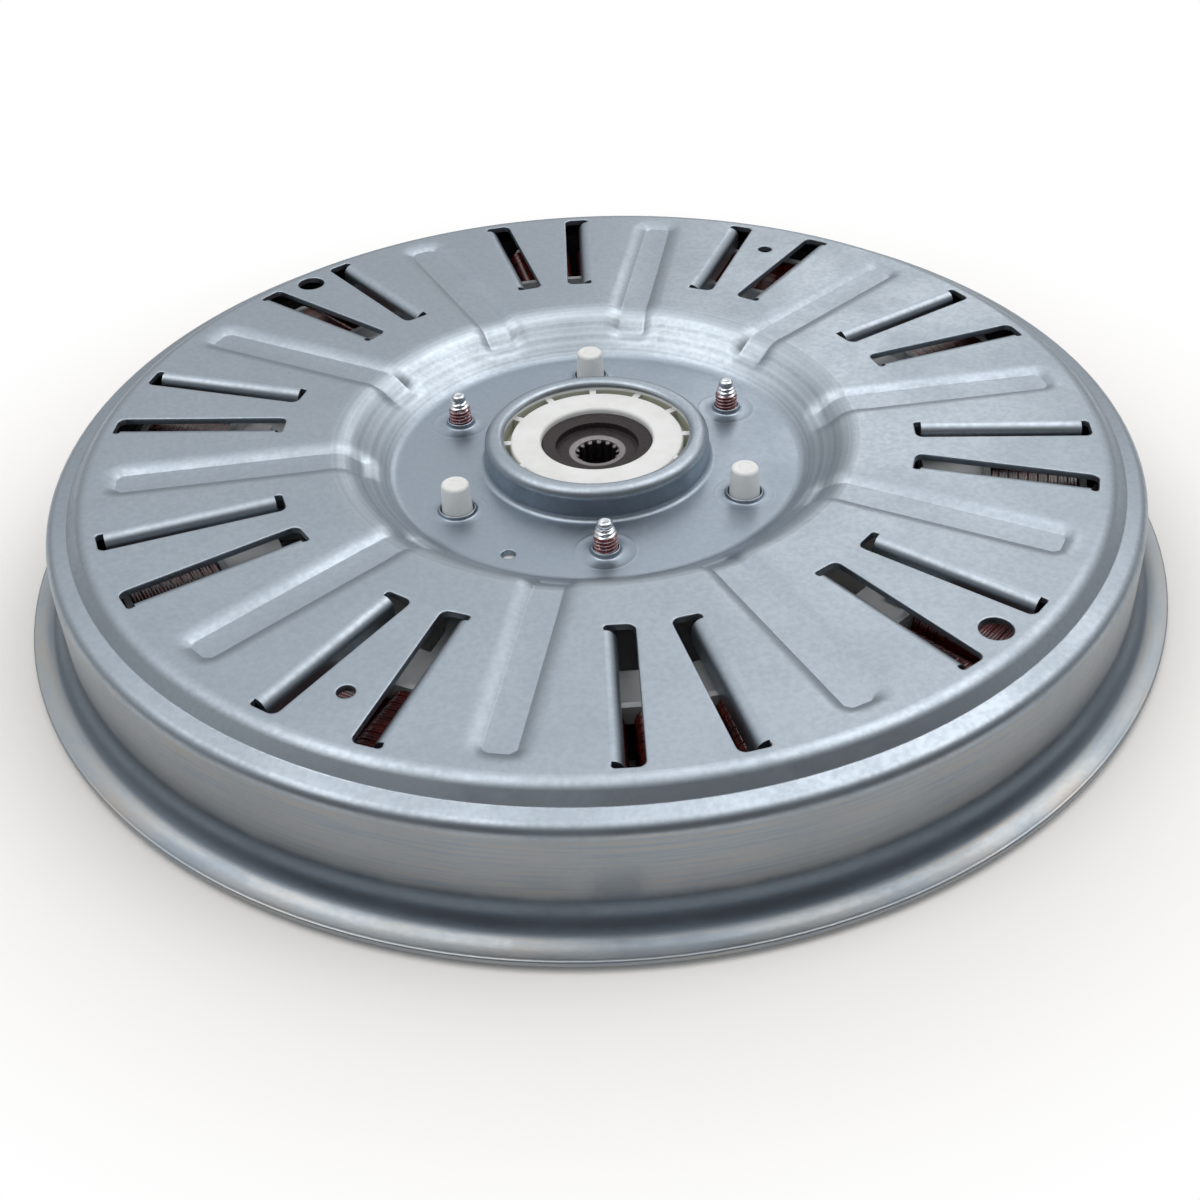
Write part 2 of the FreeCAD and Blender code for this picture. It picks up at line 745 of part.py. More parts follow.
def sensor_fingers(width, x_low, x_high, z_low, z_high):
    """Like blocks at the sensor's slot openings, about the tray's own centre line."""
    finger = block(x_low, x_high, width, z_low, z_high)
    return [turned(finger, (i - (sensor_count - 1) / 2) * tooth_step) for i in range(sensor_count)]


def sensor_socket():
    """The sensor's own socket, open towards the shaft and clear of the ring behind it."""
    top = tray_foot + sensor_socket_height
    outer = block(sensor_socket_place, ring_inner_radius, sensor_socket_width, tray_foot, top)
    outer = outer.common(cylinder(ring_inner_radius - seat_gap, tray_foot, top))
    inner = block(sensor_socket_place - 1, sensor_socket_back, sensor_socket_width - 2 * tray_wall,
                  tray_foot + tray_wall, top - tray_wall)
    return outer.cut(inner)


def sensor_holder():
    """A shallow tray under the coils, on two screw posts, with the sensor's own socket."""
    floor = tray_foot + tray_wall
    tray = block(tray_inner, tray_outer, tray_width, tray_foot, tray_top)
    hollow = block(tray_inner + tray_wall, tray_outer - tray_wall, tray_width - 2 * tray_wall,
                   floor, tray_top + 1)
    neck = block(sensor_socket_back, tray_inner + tray_wall, sensor_neck_width, tray_foot, floor)
    fingers = sensor_fingers(finger_width, tray_outer - tray_wall, stator_radius - tray_wall,
                             tray_foot, tray_top)
    holder = turned(tray.fuse(fingers + [neck]).cut(hollow).fuse(sensor_socket()), sensor_angle)
    cuts = [turned(cut, sensor_angle) for cut in hall_blocks(board_gap) + pin_bars(screw_fit)]
    for place in screw_places():
        post = cylinder(screw_post_radius, tray_foot, tray_top)
        hole = cylinder(screw_radius + screw_fit, tray_foot - 1, tray_top + 1)
        head_seat = cylinder(screw_head_radius + screw_head_fit, tray_foot - 1,
                             tray_foot + screw_head + screw_fit)
        for shape in (post, hole, head_seat):
            shape.translate(place)
        holder = holder.fuse(post)
        cuts += [hole, head_seat]
    return holder.cut(cuts)


def sensor_board():
    floor = tray_foot + tray_wall
    gap = tray_wall + board_gap
    board = block(tray_inner + gap, tray_outer - gap, tray_width - 2 * gap, floor, floor + board_height)
    return turned(board, sensor_angle)


def hall_blocks(grow=0.0):
    foot = tray_foot + tray_wall
    return sensor_fingers(hall_width + 2 * grow, hall_place - hall_thickness - grow, hall_place + grow, foot,
                          foot + hall_height)


def pin_bars(grow=0.0):
    """Square pins through the back of the sensor's socket."""
    middle = tray_foot + sensor_socket_height / 2
    half = sensor_pin / 2 + grow
    bars = []
    for i in range(sensor_pin_count):
        bar = block(sensor_socket_back - sensor_pin_length, ring_inner_radius - seat_gap + grow, 2 * half,
                    middle - half, middle + half)
        bar.translate(FreeCAD.Vector(0, (i - (sensor_pin_count - 1) / 2) * sensor_pin_pitch, 0))
        bars.append(bar)
    return bars


def sensor_screws():
    head_low = tray_foot + screw_fit
    head_high = tray_foot + screw_head
    screw = spun([(0, head_low), (screw_head_radius, head_low), (screw_head_radius, head_high),
                  (screw_radius, head_high), (screw_radius, wall_foot + screw_grip),
                  (0, wall_foot + screw_grip)])
    screws = []
    for place in screw_places():
        copy = screw.copy()
        copy.translate(place)
        screws.append(copy)
    return Part.makeCompound(screws)


parts = {
    "rotor_cup": rotor_cup(),
    "hub_bushing": hub_bushing(),
    "splined_insert": splined_insert(),
    "hub_bolts": hub_bolts(),
    "stator_core": stator_core(),
    "core_rivets": Part.makeCompound(rivet_solids(rivet_radius)),
    "upper_insulator": ring_segments(insulator_ring()),
    "lower_insulator": lower_insulator(),
    "upper_bosses": mounting_bosses(core_middle + boss_gap / 2, core_top + cover),
    "lower_bosses": mounting_bosses(0, core_middle - boss_gap / 2),
    "socket_housing": socket_housing(),
    "mounting_sleeves": mounting_sleeves(),
    "power_terminals": Part.makeCompound(terminal_blades()),
    "sensor_holder": sensor_holder(),
    "sensor_board": sensor_board(),
    "hall_sensors": Part.makeCompound([turned(shape, sensor_angle) for shape in hall_blocks()]),
    "sensor_pins": Part.makeCompound([turned(shape, sensor_angle) for shape in pin_bars()]),
    "sensor_screws": sensor_screws(),
}
for number, shape in enumerate(ring_of(magnet(), magnet_count, full_turn / magnet_count / 2), 1):
    parts[f"magnet_{number:02d}"] = shape
for phase in range(phase_count):
    parts[f"winding_phase_{phase + 1}"] = winding(phase)

os.makedirs("parts", exist_ok=True)
for name, shape in parts.items():
    shape.exportStep(f"parts/{name}.step")
    print(name, "solids", len(shape.Solids), "volume", round(shape.Volume), "valid", shape.isValid())
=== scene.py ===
import bpy
import bmesh
import math
from functools import partial, reduce
import numpy as np
from mathutils import Matrix, Vector
from mathutils.geometry import delaunay_2d_cdt


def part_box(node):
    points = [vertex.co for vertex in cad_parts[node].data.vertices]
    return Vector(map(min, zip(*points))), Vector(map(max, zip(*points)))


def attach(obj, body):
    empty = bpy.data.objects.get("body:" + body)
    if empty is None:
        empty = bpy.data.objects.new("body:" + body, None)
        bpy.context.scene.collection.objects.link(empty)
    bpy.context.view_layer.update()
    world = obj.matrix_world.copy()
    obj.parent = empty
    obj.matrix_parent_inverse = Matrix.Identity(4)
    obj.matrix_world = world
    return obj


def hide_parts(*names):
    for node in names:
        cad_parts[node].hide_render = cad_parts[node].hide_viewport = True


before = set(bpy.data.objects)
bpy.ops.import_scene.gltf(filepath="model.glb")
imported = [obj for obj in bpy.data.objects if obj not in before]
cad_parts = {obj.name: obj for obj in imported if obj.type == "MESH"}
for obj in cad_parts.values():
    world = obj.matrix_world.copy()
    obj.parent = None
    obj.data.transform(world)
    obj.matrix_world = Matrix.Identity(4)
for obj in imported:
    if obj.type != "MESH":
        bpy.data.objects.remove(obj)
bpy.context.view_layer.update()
mm = 0.001
halfTurn = math.pi
fullTurn = 2 * math.pi
print("frame loaded")


# a point on a circle about (x, y), from its angle in radians
def polar(radius, angle, x=0.0, y=0.0):
    return x + radius * math.cos(angle), y + radius * math.sin(angle)


def around(radius, degrees):
    return polar(radius, math.radians(degrees))


# Small tools for nodes, colours and meshes

def hexColour(text):
    parts = [int(text[i:i + 2], 16) / 255 for i in (1, 3, 5)]
    return tuple(p / 12.92 if p <= 0.04045 else ((p + 0.055) / 1.055) ** 2.4 for p in parts) + (1.0,)


# short names of the nodes used most, with their usual settings and inputs
kinds = {
    "product": ("ShaderNodeMath", {"operation": "MULTIPLY"}, {}),
    "sum": ("ShaderNodeMath", {"operation": "ADD"}, {}),
    "fade": ("ShaderNodeMapRange", {"interpolation_type": "SMOOTHSTEP"}, {}),
    "paint": ("ShaderNodeMix", {"data_type": "RGBA"}, {}),
    "noise": ("ShaderNodeTexNoise", {}, {"Detail": 3.0, "Roughness": 0.55}),
}


# gives a node's inputs a socket, another node's first output, a colour or a plain value
def connect(node, inputs):
    for name, value in inputs.items():
        if isinstance(value, bpy.types.Node):
            value = next(output for output in value.outputs if not output.is_unavailable)
        if isinstance(value, bpy.types.NodeSocket):
            node.id_data.links.new(value, node.inputs[name])
        else:
            node.inputs[name].default_value = hexColour(value) if isinstance(value, str) else value
    return node


# values without a name go to the node's inputs in their order
def addNode(tree, kind, *values, **settings):
    kind, usual, inputs = kinds.get(kind, (kind, {}, {}))
    node = tree.nodes.new(kind)
    for name, value in {**usual, **settings}.items():
        setattr(node, name, value)
    connect(node, inputs)
    free = [number for number, socket in enumerate(node.inputs) if not socket.is_unavailable]
    connect(node, dict(zip(free, [value for value in values if not isinstance(value, dict)])))
    for named in values:
        if isinstance(named, dict):
            connect(node, named)
    return node


def newMaterial(name, **shader):
    material = bpy.data.materials.new(name)
    material.use_nodes = True
    put = partial(addNode, material.node_tree)
    material.node_tree.nodes.clear()
    put("ShaderNodeOutputMaterial", put("ShaderNodeBsdfPrincipled", shader))
    return material, put, put("ShaderNodeTexCoord").outputs["Object"]


# colour, roughness and relief of a finish, as plain values or as patterns
def finished(material, tone, rough, relief=None, depth=0.0, **shader):
    surface = material.node_tree.nodes["Principled BSDF"]
    connect(surface, {"Base Color": tone, "Roughness": rough, **shader})
    if relief:
        bump = {"Height": relief, "Strength": 1.0, "Distance": depth * mm}
        connect(surface, {"Normal": addNode(material.node_tree, "ShaderNodeBump", bump)})
    return material


def linked(name, data):
    shape = bpy.data.objects.new(name, data)
    bpy.context.scene.collection.objects.link(shape)
    return shape


def meshObject(name, points, faces, material=None):
    mesh = bpy.data.meshes.new(name)
    mesh.from_pydata([tuple(p) for p in np.asarray(points) * mm], [], [tuple(f) for f in faces])
    shape = linked(name, mesh)
    if material:
        mesh.materials.append(material)
    return shape


def evaluated(shape, name=None):
    result = bpy.data.meshes.new_from_object(shape.evaluated_get(bpy.context.evaluated_depsgraph_get()))
    shape.modifiers.clear()
    shape.data = result
    if name:
        shape.name = name
        result.name = name
    return shape


def fromSolid(name, solid, material):
    mesh = bpy.data.meshes.new(name)
    solid.to_mesh(mesh)
    solid.free()
    mesh.materials.append(material)
    return linked(name, mesh)


def joinShapes(name, shapes, material, weld=0.002):
    solid = bmesh.new()
    for shape in shapes:
        solid.from_mesh(shape.data)
        bpy.data.objects.remove(shape)
    bmesh.ops.remove_doubles(solid, verts=solid.verts, dist=weld * mm)
    return fromSolid(name, solid, material)


def smoothed(shape, sharpDegrees=40):
    shape.data.shade_smooth()
    shape.data.set_sharp_from_angle(angle=math.radians(sharpDegrees))
    weighted = shape.modifiers.new("evenShading", "WEIGHTED_NORMAL")
    weighted.keep_sharp = True
    bpy.context.view_layer.update()
    return evaluated(shape)


def placePiece(piece, body, slot, *nodes):
    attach(piece, body)
    if nodes:
        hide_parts(*nodes)
    return piece


# Geometry Nodes: copies of one piece round the shaft's axis

def newTree(name, sockets):
    tree = bpy.data.node_groups.new(name, "GeometryNodeTree")
    for label, kind in sockets.items():
        tree.interface.new_socket(label, in_out="INPUT", socket_type="NodeSocket" + kind)
    tree.interface.new_socket("Geometry", in_out="OUTPUT", socket_type="NodeSocketGeometry")
    return tree, partial(addNode, tree)


def ringTree():
    tree, put = newTree("copiesRound", {"Piece": "Object", "Count": "Int", "First Angle": "Float",
                                        "Circle": "Float", "Material": "Material"})
    given = put("NodeGroupInput").outputs
    share = put("ShaderNodeMath", put("GeometryNodeInputIndex"), given["Count"], operation="DIVIDE")
    angle = put("sum", put("product", share, fullTurn), given["First Angle"])
    across, along = put("ShaderNodeMath", angle, operation="COSINE"), put("ShaderNodeMath", angle, operation="SINE")
    spot = put("ShaderNodeVectorMath", put("ShaderNodeCombineXYZ", across, along), given["Circle"],
               operation="SCALE")
    copies = put("GeometryNodeInstanceOnPoints", {
        "Points": put("GeometryNodePoints", given["Count"], spot),
        "Instance": put("GeometryNodeObjectInfo", {"Object": given["Piece"]}).outputs["Geometry"],
        "Rotation": put("ShaderNodeCombineXYZ", {"Z": angle})})
    plain = put("GeometryNodeRealizeInstances", copies)
    put("NodeGroupOutput", put("GeometryNodeSetMaterial", plain, {"Material": given["Material"]}))
    return tree


def runTree(name, tree, **values):
    shape = linked(name, bpy.data.meshes.new(name))
    nodes = shape.modifiers.new("nodes", "NODES")
    nodes.node_group = tree
    sockets = {item.name: item.identifier for item in tree.interface.items_tree if item.in_out == "INPUT"}
    for key, value in values.items():
        nodes[sockets[key]] = value
    bpy.context.view_layer.update()
    return evaluated(shape, name)


def copiesRound(name, piece, count, firstDegrees, circle, material):
    result = runTree(name, ringTrees, **{"Piece": piece, "Count": count, "First Angle": math.radians(firstDegrees),
                                         "Circle": circle * mm, "Material": material})
    bpy.data.objects.remove(piece)
    return result


ringTrees = ringTree()


# Sections: a path of rounded corners as rows of radius, height, outward normal and length

def roundedRows(corners, arcDegrees=11.0):
    points = [np.array(c[:2], float) for c in corners]
    rows = []

    def addRow(point, normal):
        length = rows[-1][4] + math.hypot(point[0] - rows[-1][0], point[1] - rows[-1][1]) if rows else 0.0
        rows.append((point[0], point[1], normal[0], normal[1], length))

    def outward(a, b):
        d = (b - a) / np.linalg.norm(b - a)
        return np.array([d[1], -d[0]])

    def addRun(end, normal, steps):
        begin = np.array(rows[-1][:2])
        for k in range(1, steps):
            addRow(begin + (end - begin) * k / steps, normal)

    addRow(points[0], outward(points[0], points[1]))
    for i in range(1, len(points) - 1):
        before, here, after = points[i - 1:i + 2]
        n1, n2 = outward(before, here), outward(here, after)
        radius = corners[i][2]
        steps = corners[i - 1][3] if len(corners[i - 1]) > 3 else 1
        turn = math.atan2(n1[0] * n2[1] - n1[1] * n2[0], float(n1 @ n2))
        if radius == 0 or abs(turn) < 1e-6:
            addRun(here, n1, steps)
            addRow(here, (n1 + n2) / np.linalg.norm(n1 + n2))
            continue
        back = (here - before) / np.linalg.norm(here - before)
        start = here - back * radius * math.tan(abs(turn) / 2)
        side = 1.0 if turn > 0 else -1.0
        hub = start - n1 * radius * side
        addRun(start, n1, steps)
        arcSteps = max(2, math.ceil(math.degrees(abs(turn)) / arcDegrees))
        for k in range(arcSteps + 1):
            a = turn * k / arcSteps
            normal = np.array([n1[0] * math.cos(a) - n1[1] * math.sin(a), n1[0] * math.sin(a) + n1[1] * math.cos(a)])
            addRow(hub + normal * radius * side, normal)
    addRow(points[-1], outward(points[-2], points[-1]))
    return rows


# upper and lower skin of a sheet whose rows run one way, with the columns that anglesOf(row) gives
def sheetGrid(rows, anglesOf, depthOf=None, edgeRound=None):
    top, under = [], []
    for row in rows:
        r, z, nr, nz = row[:4]
        for angle in anglesOf(row):
            c, s = math.cos(angle), math.sin(angle)
            normal = np.array([nr * c, nr * s, nz])
            point = np.array([r * c, r * s, z])
            if depthOf:
                point = point - normal * depthOf(row, angle)
            drop = edgeRound(row) if edgeRound else 0.0
            top.append(point - normal * drop)
            under.append(point - normal * (cup["sheet"] - drop))
    columns = len(anglesOf(rows[0]))
    starts = [i * columns + j for i in range(len(rows) - 1) for j in range(columns - 1)]
    return np.array(top), np.array(under), [(a, a + columns, a + columns + 1, a + 1) for a in starts]


# both skins of a sheet, with walls along the open edges that seam(a, b) doesn't claim
def doubled(top, under, faces, seam):
    count = len(top)
    edges = {(a, b) for face in faces for a, b in zip(face, face[1:] + face[:1])}
    walls = [(b, a, a + count, b + count) for a, b in sorted(edges)
             if (b, a) not in edges and not seam(top[a], top[b])]
    back = [tuple(i + count for i in reversed(face)) for face in faces]
    return np.vstack([top, under]), list(faces) + back + walls


# one list of points and faces from several
def stacked(shells):
    points, faces = np.zeros((0, 3)), []
    for more, sides in shells:
        faces += [tuple(i + len(points) for i in side) for side in sides]
        points = np.vstack([points, more])
    return points, faces


def insidePolygon(points, polygon):
    inside = np.zeros(len(points), bool)
    x, y = points[:, 0], points[:, 1]
    for (x1, y1), (x2, y2) in zip(polygon, polygon[1:] + polygon[:1]):
        if y1 != y2:
            crosses = ((y1 > y) != (y2 > y)) & (x < (x2 - x1) * (y - y1) / (y2 - y1) + x1)
            inside ^= crosses
    return inside


# chains are open or closed runs of (x, y) points that triangle edges must follow
def triangulated(chains, keep, gaps):
    points, edges = [], []
    for chain, closed in chains:
        first = len(points)
        points += chain
        ends = len(chain) if closed else len(chain) - 1
        edges += [(first + i, first + (i + 1) % len(chain)) for i in range(ends)]
    flat, _, faces, origins, _, _ = delaunay_2d_cdt([Vector(p) for p in points], edges, [], 0, 1e-6)
    flat = np.array([tuple(p) for p in flat])
    faces = np.array([tuple(f) for f in faces])
    middles = flat[faces].mean(axis=1)
    good = insidePolygon(middles, keep)
    for gap in gaps:
        good &= ~insidePolygon(middles, gap)
    corners = flat[faces]
    side1, side2 = corners[:, 1] - corners[:, 0], corners[:, 2] - corners[:, 0]
    area = side1[:, 0] * side2[:, 1] - side1[:, 1] * side2[:, 0]
    faces[area < 0] = faces[area < 0][:, ::-1]
    good &= np.abs(area) > 1e-3
    return flat, [tuple(int(i) for i in f) for f in faces[good]], origins


def roundedDrop(distance, radius):
    return radius - math.sqrt(radius ** 2 - (radius - distance) ** 2) if distance < radius else 0.0


# Rotor cup: one pressing of galvanised sheet

cupLow, cupHigh = [[v / mm for v in corner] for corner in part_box("rotor_cup")]
cup = {
    "sheet": 1.6, "rimRadius": 146.6, "rimTop": cupLow[2] + 1.6, "rimRound": 0.55, "rimFillet": 7.7,
    "wallRadius": 137.8, "shoulderRoll": 3.1, "shoulderDip": 1.1,
    "discTop": cupHigh[2], "stepDrop": 3.6, "stepRadius": 132.3, "stepLean": 3.6, "stepCrease": 0.6, "discRoll": 4.6,
    "discSeam": 126.7, "knuckleSeam": 68.5, "dishRadius": 64.6,
    "dishFloorRadius": 53.0, "dishDepth": 9.2, "dishKnuckle": 9.0, "dishFillet": 4.0, "floorSeam": 51.4,
    "collarSeam": 30.6, "collarRadius": 28.9, "collarRise": 8.5, "collarFoot": 1.5, "collarRoll": 2.6,
    "mouthRadius": 23.9, "mouthLean": 0.7, "mouthRoll": 1.7, "mouthDrop": 1.0, "edgeRound": 0.3, "columns": 6,
}
slots = {
    "pairs": 10, "firstDegrees": -90.0, "start": 81.2, "offset": 3.9, "length": 44.2, "skewDegrees": 6.9,
    "width": 6.9, "corner": 1.9, "hookCorner": 0.8, "relief": 1.8, "roll": 2.8, "drop": 6.0,
}
groove = {"depth": 1.35, "halfFloor": 3.55, "slope": 4.4, "corner": 1.6, "end": 120.4, "runDown": 7.2}
smallHoles = {"gaugeRadius": 3.8, "gaugePlace": 121.5, "gaugePair": 1, "indexRadius": 2.0, "indexPlace": 112.8,
              "indexPair": 4, "drainRadius": 1.7, "drainPlace": 46.7, "drainDegrees": -126.0}
# the extruded collars are rings of radius and height above the dish
fasteners = {
    "circle": 41.4, "count": 3, "boltDegrees": 24.0, "pinDegrees": 84.0, "boltTip": cupHigh[2] - 0.4,
    "pinTip": cupHigh[2] - 1.0, "columns": 28,
    "boltCollar": [(3.07, 0.95), (3.13, 1.2), (3.25, 1.3), (3.42, 1.27), (3.55, 1.08), (3.62, 0.7), (3.7, 0.35),
                   (3.9, 0.14), (4.3, 0.0), (5.2, -0.14), (6.2, -0.16), (7.0, -0.08), (7.8, 0.0)],
    "pinCollar": [(4.25, 0.7), (4.3, 0.9), (4.42, 1.0), (4.6, 0.96), (4.72, 0.78), (4.8, 0.45), (4.9, 0.22),
                  (5.15, 0.08), (5.6, -0.02), (6.6, -0.1), (7.6, -0.08), (8.6, 0.0)],
}
dishTop = cup["discTop"] - cup["dishDepth"]
crest = dishTop + cup["collarRise"]
halfPair = halfTurn / slots["pairs"]
flankSteps = [0.0, 0.2, 0.7, 1.4, 2.2, 3.2, groove["slope"]]
grooveColumns = [0.0, 1.7, 2.9] + [groove["halfFloor"] + t for t in flankSteps]


# angles of a row's columns, from the groove's centre line to the pair's
def columnAngles(radius):
    angles = [halfPair - math.asin(across / radius) for across in grooveColumns]
    return angles + [angles[-1] * (1 - (k + 1) / cup["columns"]) for k in range(cup["columns"])]


# where the groove ends on the dish's side, counted inwards along the sheet from the seam on the disc
grooveInner = cup["dishRadius"] - groove["runDown"]


def grooveDepth(along, across):
    g = groove
    middle, half = (g["end"] + grooveInner) / 2, (g["end"] - grooveInner) / 2 - g["corner"]
    u = max(abs(along - middle) - half, 0.0)
    v = max(abs(across) - (g["halfFloor"] - g["corner"]), 0.0)
    outside = math.hypot(u, v) - g["corner"]
    return g["depth"] if outside <= 0 else g["depth"] * max(1 - outside / g["slope"], 0.0) ** 2


def dishHalf():
    c = cup
    rows = roundedRows([(c["knuckleSeam"], c["discTop"]), (c["dishRadius"], c["discTop"], c["dishKnuckle"], 13),
                        (c["dishFloorRadius"], dishTop, c["dishFillet"]), (c["floorSeam"], dishTop)], 6.5)
    return sheetGrid(rows, lambda row: columnAngles(row[0]),
                     lambda row, angle: grooveDepth(c["knuckleSeam"] - row[4], row[0] * math.sin(halfPair - angle)))


def rimHalf():
    c = cup
    r, z = c["rimRadius"], c["rimTop"]
    start = [(r, z)] + [(r - d, z, 0) for d in (0.05, 0.16, 0.32, c["rimRound"], 0.85, 1.1)]
    rows = roundedRows(start + [(c["wallRadius"], z, c["rimFillet"]),
                                (c["wallRadius"], c["discTop"] - c["stepDrop"] - c["shoulderDip"], c["shoulderRoll"]),
                                (c["stepRadius"], c["discTop"] - c["stepDrop"], c["stepCrease"]),
                                (c["stepRadius"] - c["stepLean"], c["discTop"], c["discRoll"]),
                                (c["discSeam"], c["discTop"])])
    return sheetGrid(rows, lambda row: columnAngles(c["discSeam"]),
                     edgeRound=lambda row: roundedDrop(r - row[0], c["rimRound"]))


# the slot's outline moved out by a distance, as (along, across, isLip)
def slotLoop(out):
    s = slots
    length, width, corner, hook = s["length"], s["width"], s["corner"], s["hookCorner"]
    points = []

    def arc(along, across, radius, firstDegrees, steps):
        for k in range(steps + 1):
            turn = math.radians(firstDegrees + 90 * k / steps)
            points.append((*polar(radius + out, turn, along, across), False))

    def run(fixed, first, last, steps, sideways, lip=False):
        for k in range(steps + 1):
            moving = first + (last - first) * k / steps
            points.append((fixed, moving, lip) if sideways else (moving, fixed, lip))

    arc(length - corner, corner, corner, -90, 6)
    arc(length - hook, width - hook, hook, 0, 4)
    run(width + out, length - s["relief"], s["relief"], 8, False, True)
    arc(hook, width - hook, hook, 90, 4)
    arc(corner, corner, corner, 180, 6)
    run(-out, corner + 5, length - corner - 5, 5, False)
    return points


def inPair(along, across):
    s = slots
    turn = math.radians(s["skewDegrees"])
    return (s["start"] + along * math.cos(turn) - across * math.sin(turn),
            s["offset"] + along * math.sin(turn) + across * math.cos(turn))


def arcChain(radius, reverse=False):
    chain = [polar(radius, a) for a in columnAngles(radius)]
    return chain[::-1] if reverse else chain


def inGroove(along, across):
    c, s = math.cos(halfPair), math.sin(halfPair)
    return (along * c + across * s, along * s - across * c)


def discHalf(holeRadius=0.0, holePlace=0.0):
    g, seamIn, seamOut = groove, cup["knuckleSeam"], cup["discSeam"]
    rounding = [(0.0, cup["edgeRound"]), (0.09, roundedDrop(0.09, cup["edgeRound"])), (0.3, 0.0), (0.8, 0.0)]
    drops = {}
    chains = []

    def chain(points, dropOf=None, closed=False):
        first = sum(len(c[0]) for c in chains)
        drops.update({first + i: dropOf[i] if dropOf else 0.0 for i in range(len(points))})
        chains.append((points, closed))

    for out, drop in rounding:
        loop = slotLoop(out)
        chain([inPair(p[0], p[1]) for p in loop], [0.0 if p[2] else drop for p in loop], True)
    gaps = [chains[0][0]]
    if holeRadius:
        for out, drop in rounding:
            ring = [(holePlace - (holeRadius + out) * math.cos(a), (holeRadius + out) * math.sin(a))
                    for a in (halfTurn * k / 16 for k in range(17))]
            chain(ring, [drop] * len(ring))
            if out == 0.0:
                gaps.append(ring + [(holePlace, -1e-3)])
    chain(arcChain(seamIn))
    chain(arcChain(seamOut))
    steps = 9
    axis = [(seamIn + (seamOut - seamIn) * k / steps, 0.0) for k in range(steps + 1)]
    for a, b in zip(axis, axis[1:]):
        if not holeRadius or min(abs(a[0] - holePlace), abs(b[0] - holePlace)) > holeRadius + 1.5:
            chain([a, b])
    straight = [seamIn + 5 * k for k in range(1, 10)]
    outline = []
    for t in flankSteps:
        across = g["halfFloor"] + t
        start = math.sqrt(seamIn ** 2 - across ** 2)
        loop = [inGroove(start, across)] + [inGroove(x, across) for x in straight]
        middle = (g["end"] - g["corner"], g["halfFloor"] - g["corner"])
        loop += [inGroove(*polar(g["corner"] + t, math.radians(90 - 18 * k), *middle)) for k in range(6)]
        loop.append(inGroove(g["end"] + t, 0.0))
        chain(loop)
        outline.append(g["end"] + t)
    line = [seamIn] + straight + [g["end"] - 4.0] + outline + [seamOut]
    chain([inGroove(x, 0.0) for x in line])
    for x, y in ((100.0, 2.0), (90.0, 1.5), (110.0, 3.0), (76.0, 6.0), (73.0, 12.0), (100.0, 20.0), (112.0, 23.0)):
        chain([(x, y)])

    keep = arcChain(seamIn) + arcChain(seamOut, True)
    flat, faces, origins = triangulated(chains, keep, gaps)
    top, under = [], []
    for point, sources in zip(flat, origins):
        along = point[0] * math.cos(halfPair) + point[1] * math.sin(halfPair)
        across = point[0] * math.sin(halfPair) - point[1] * math.cos(halfPair)
        depth = grooveDepth(along, across)
        drop = min((drops[i] for i in sources), default=0.0)
        top.append((point[0], point[1], cup["discTop"] - depth - drop))
        under.append((point[0], point[1], cup["discTop"] - depth - cup["sheet"]))

    # the folded long edge hangs from the lip points of the outline, which is the first chain
    byInput = {i: number for number, sources in enumerate(origins) for i in sources}
    lip = {i: p[0] for i, p in enumerate(slotLoop(0.0)) if p[2]}
    previous = [byInput[i] for i in lip]
    bendSteps = 8
    turns = [(math.radians(90 * k / bendSteps), 0.0) for k in range(1, bendSteps + 1)]
    turns += [(math.radians(90), (slots["drop"] - slots["roll"]) * k / 2) for k in (1, 2)]
    for turn, extra in turns:
        row = []
        for along in lip.values():
            across = slots["width"] - slots["roll"] * math.sin(turn)
            z = cup["discTop"] - slots["roll"] * (1 - math.cos(turn)) - extra
            x, y = inPair(along, across)
            bx, by = inPair(along, across + cup["sheet"] * math.sin(turn))
            row.append(len(top))
            top.append((x, y, z))
            under.append((bx, by, z - cup["sheet"] * math.cos(turn)))
        faces += [(previous[k], previous[k + 1], row[k + 1], row[k]) for k in range(len(row) - 1)]
        previous = row
    return np.array(top), np.array(under), faces


def cupSeam(a, b):
    def onSeam(p):
        radius = math.hypot(p[0], p[1])
        seams = ("discSeam", "knuckleSeam", "floorSeam", "collarSeam")
        return {name: abs(radius - cup[name]) < 0.01 for name in seams}
    first, second = onSeam(a), onSeam(b)
    if any(first[name] and second[name] for name in first):
        return True
    side = [abs(p[0] * math.sin(halfPair) - p[1] * math.cos(halfPair)) < 0.01 for p in (a, b)]
    return all(side) or (abs(a[1]) < 1e-4 and abs(b[1]) < 1e-4)


def cupSector(name, *hole):
    points, faces = stacked(doubled(*sheet, cupSeam) for sheet in (rimHalf(), discHalf(*hole), dishHalf()))
    mirrored = points * np.array([1, -1, 1])
    return meshObject(name, *stacked([(points, faces), (mirrored, [face[::-1] for face in faces])]))


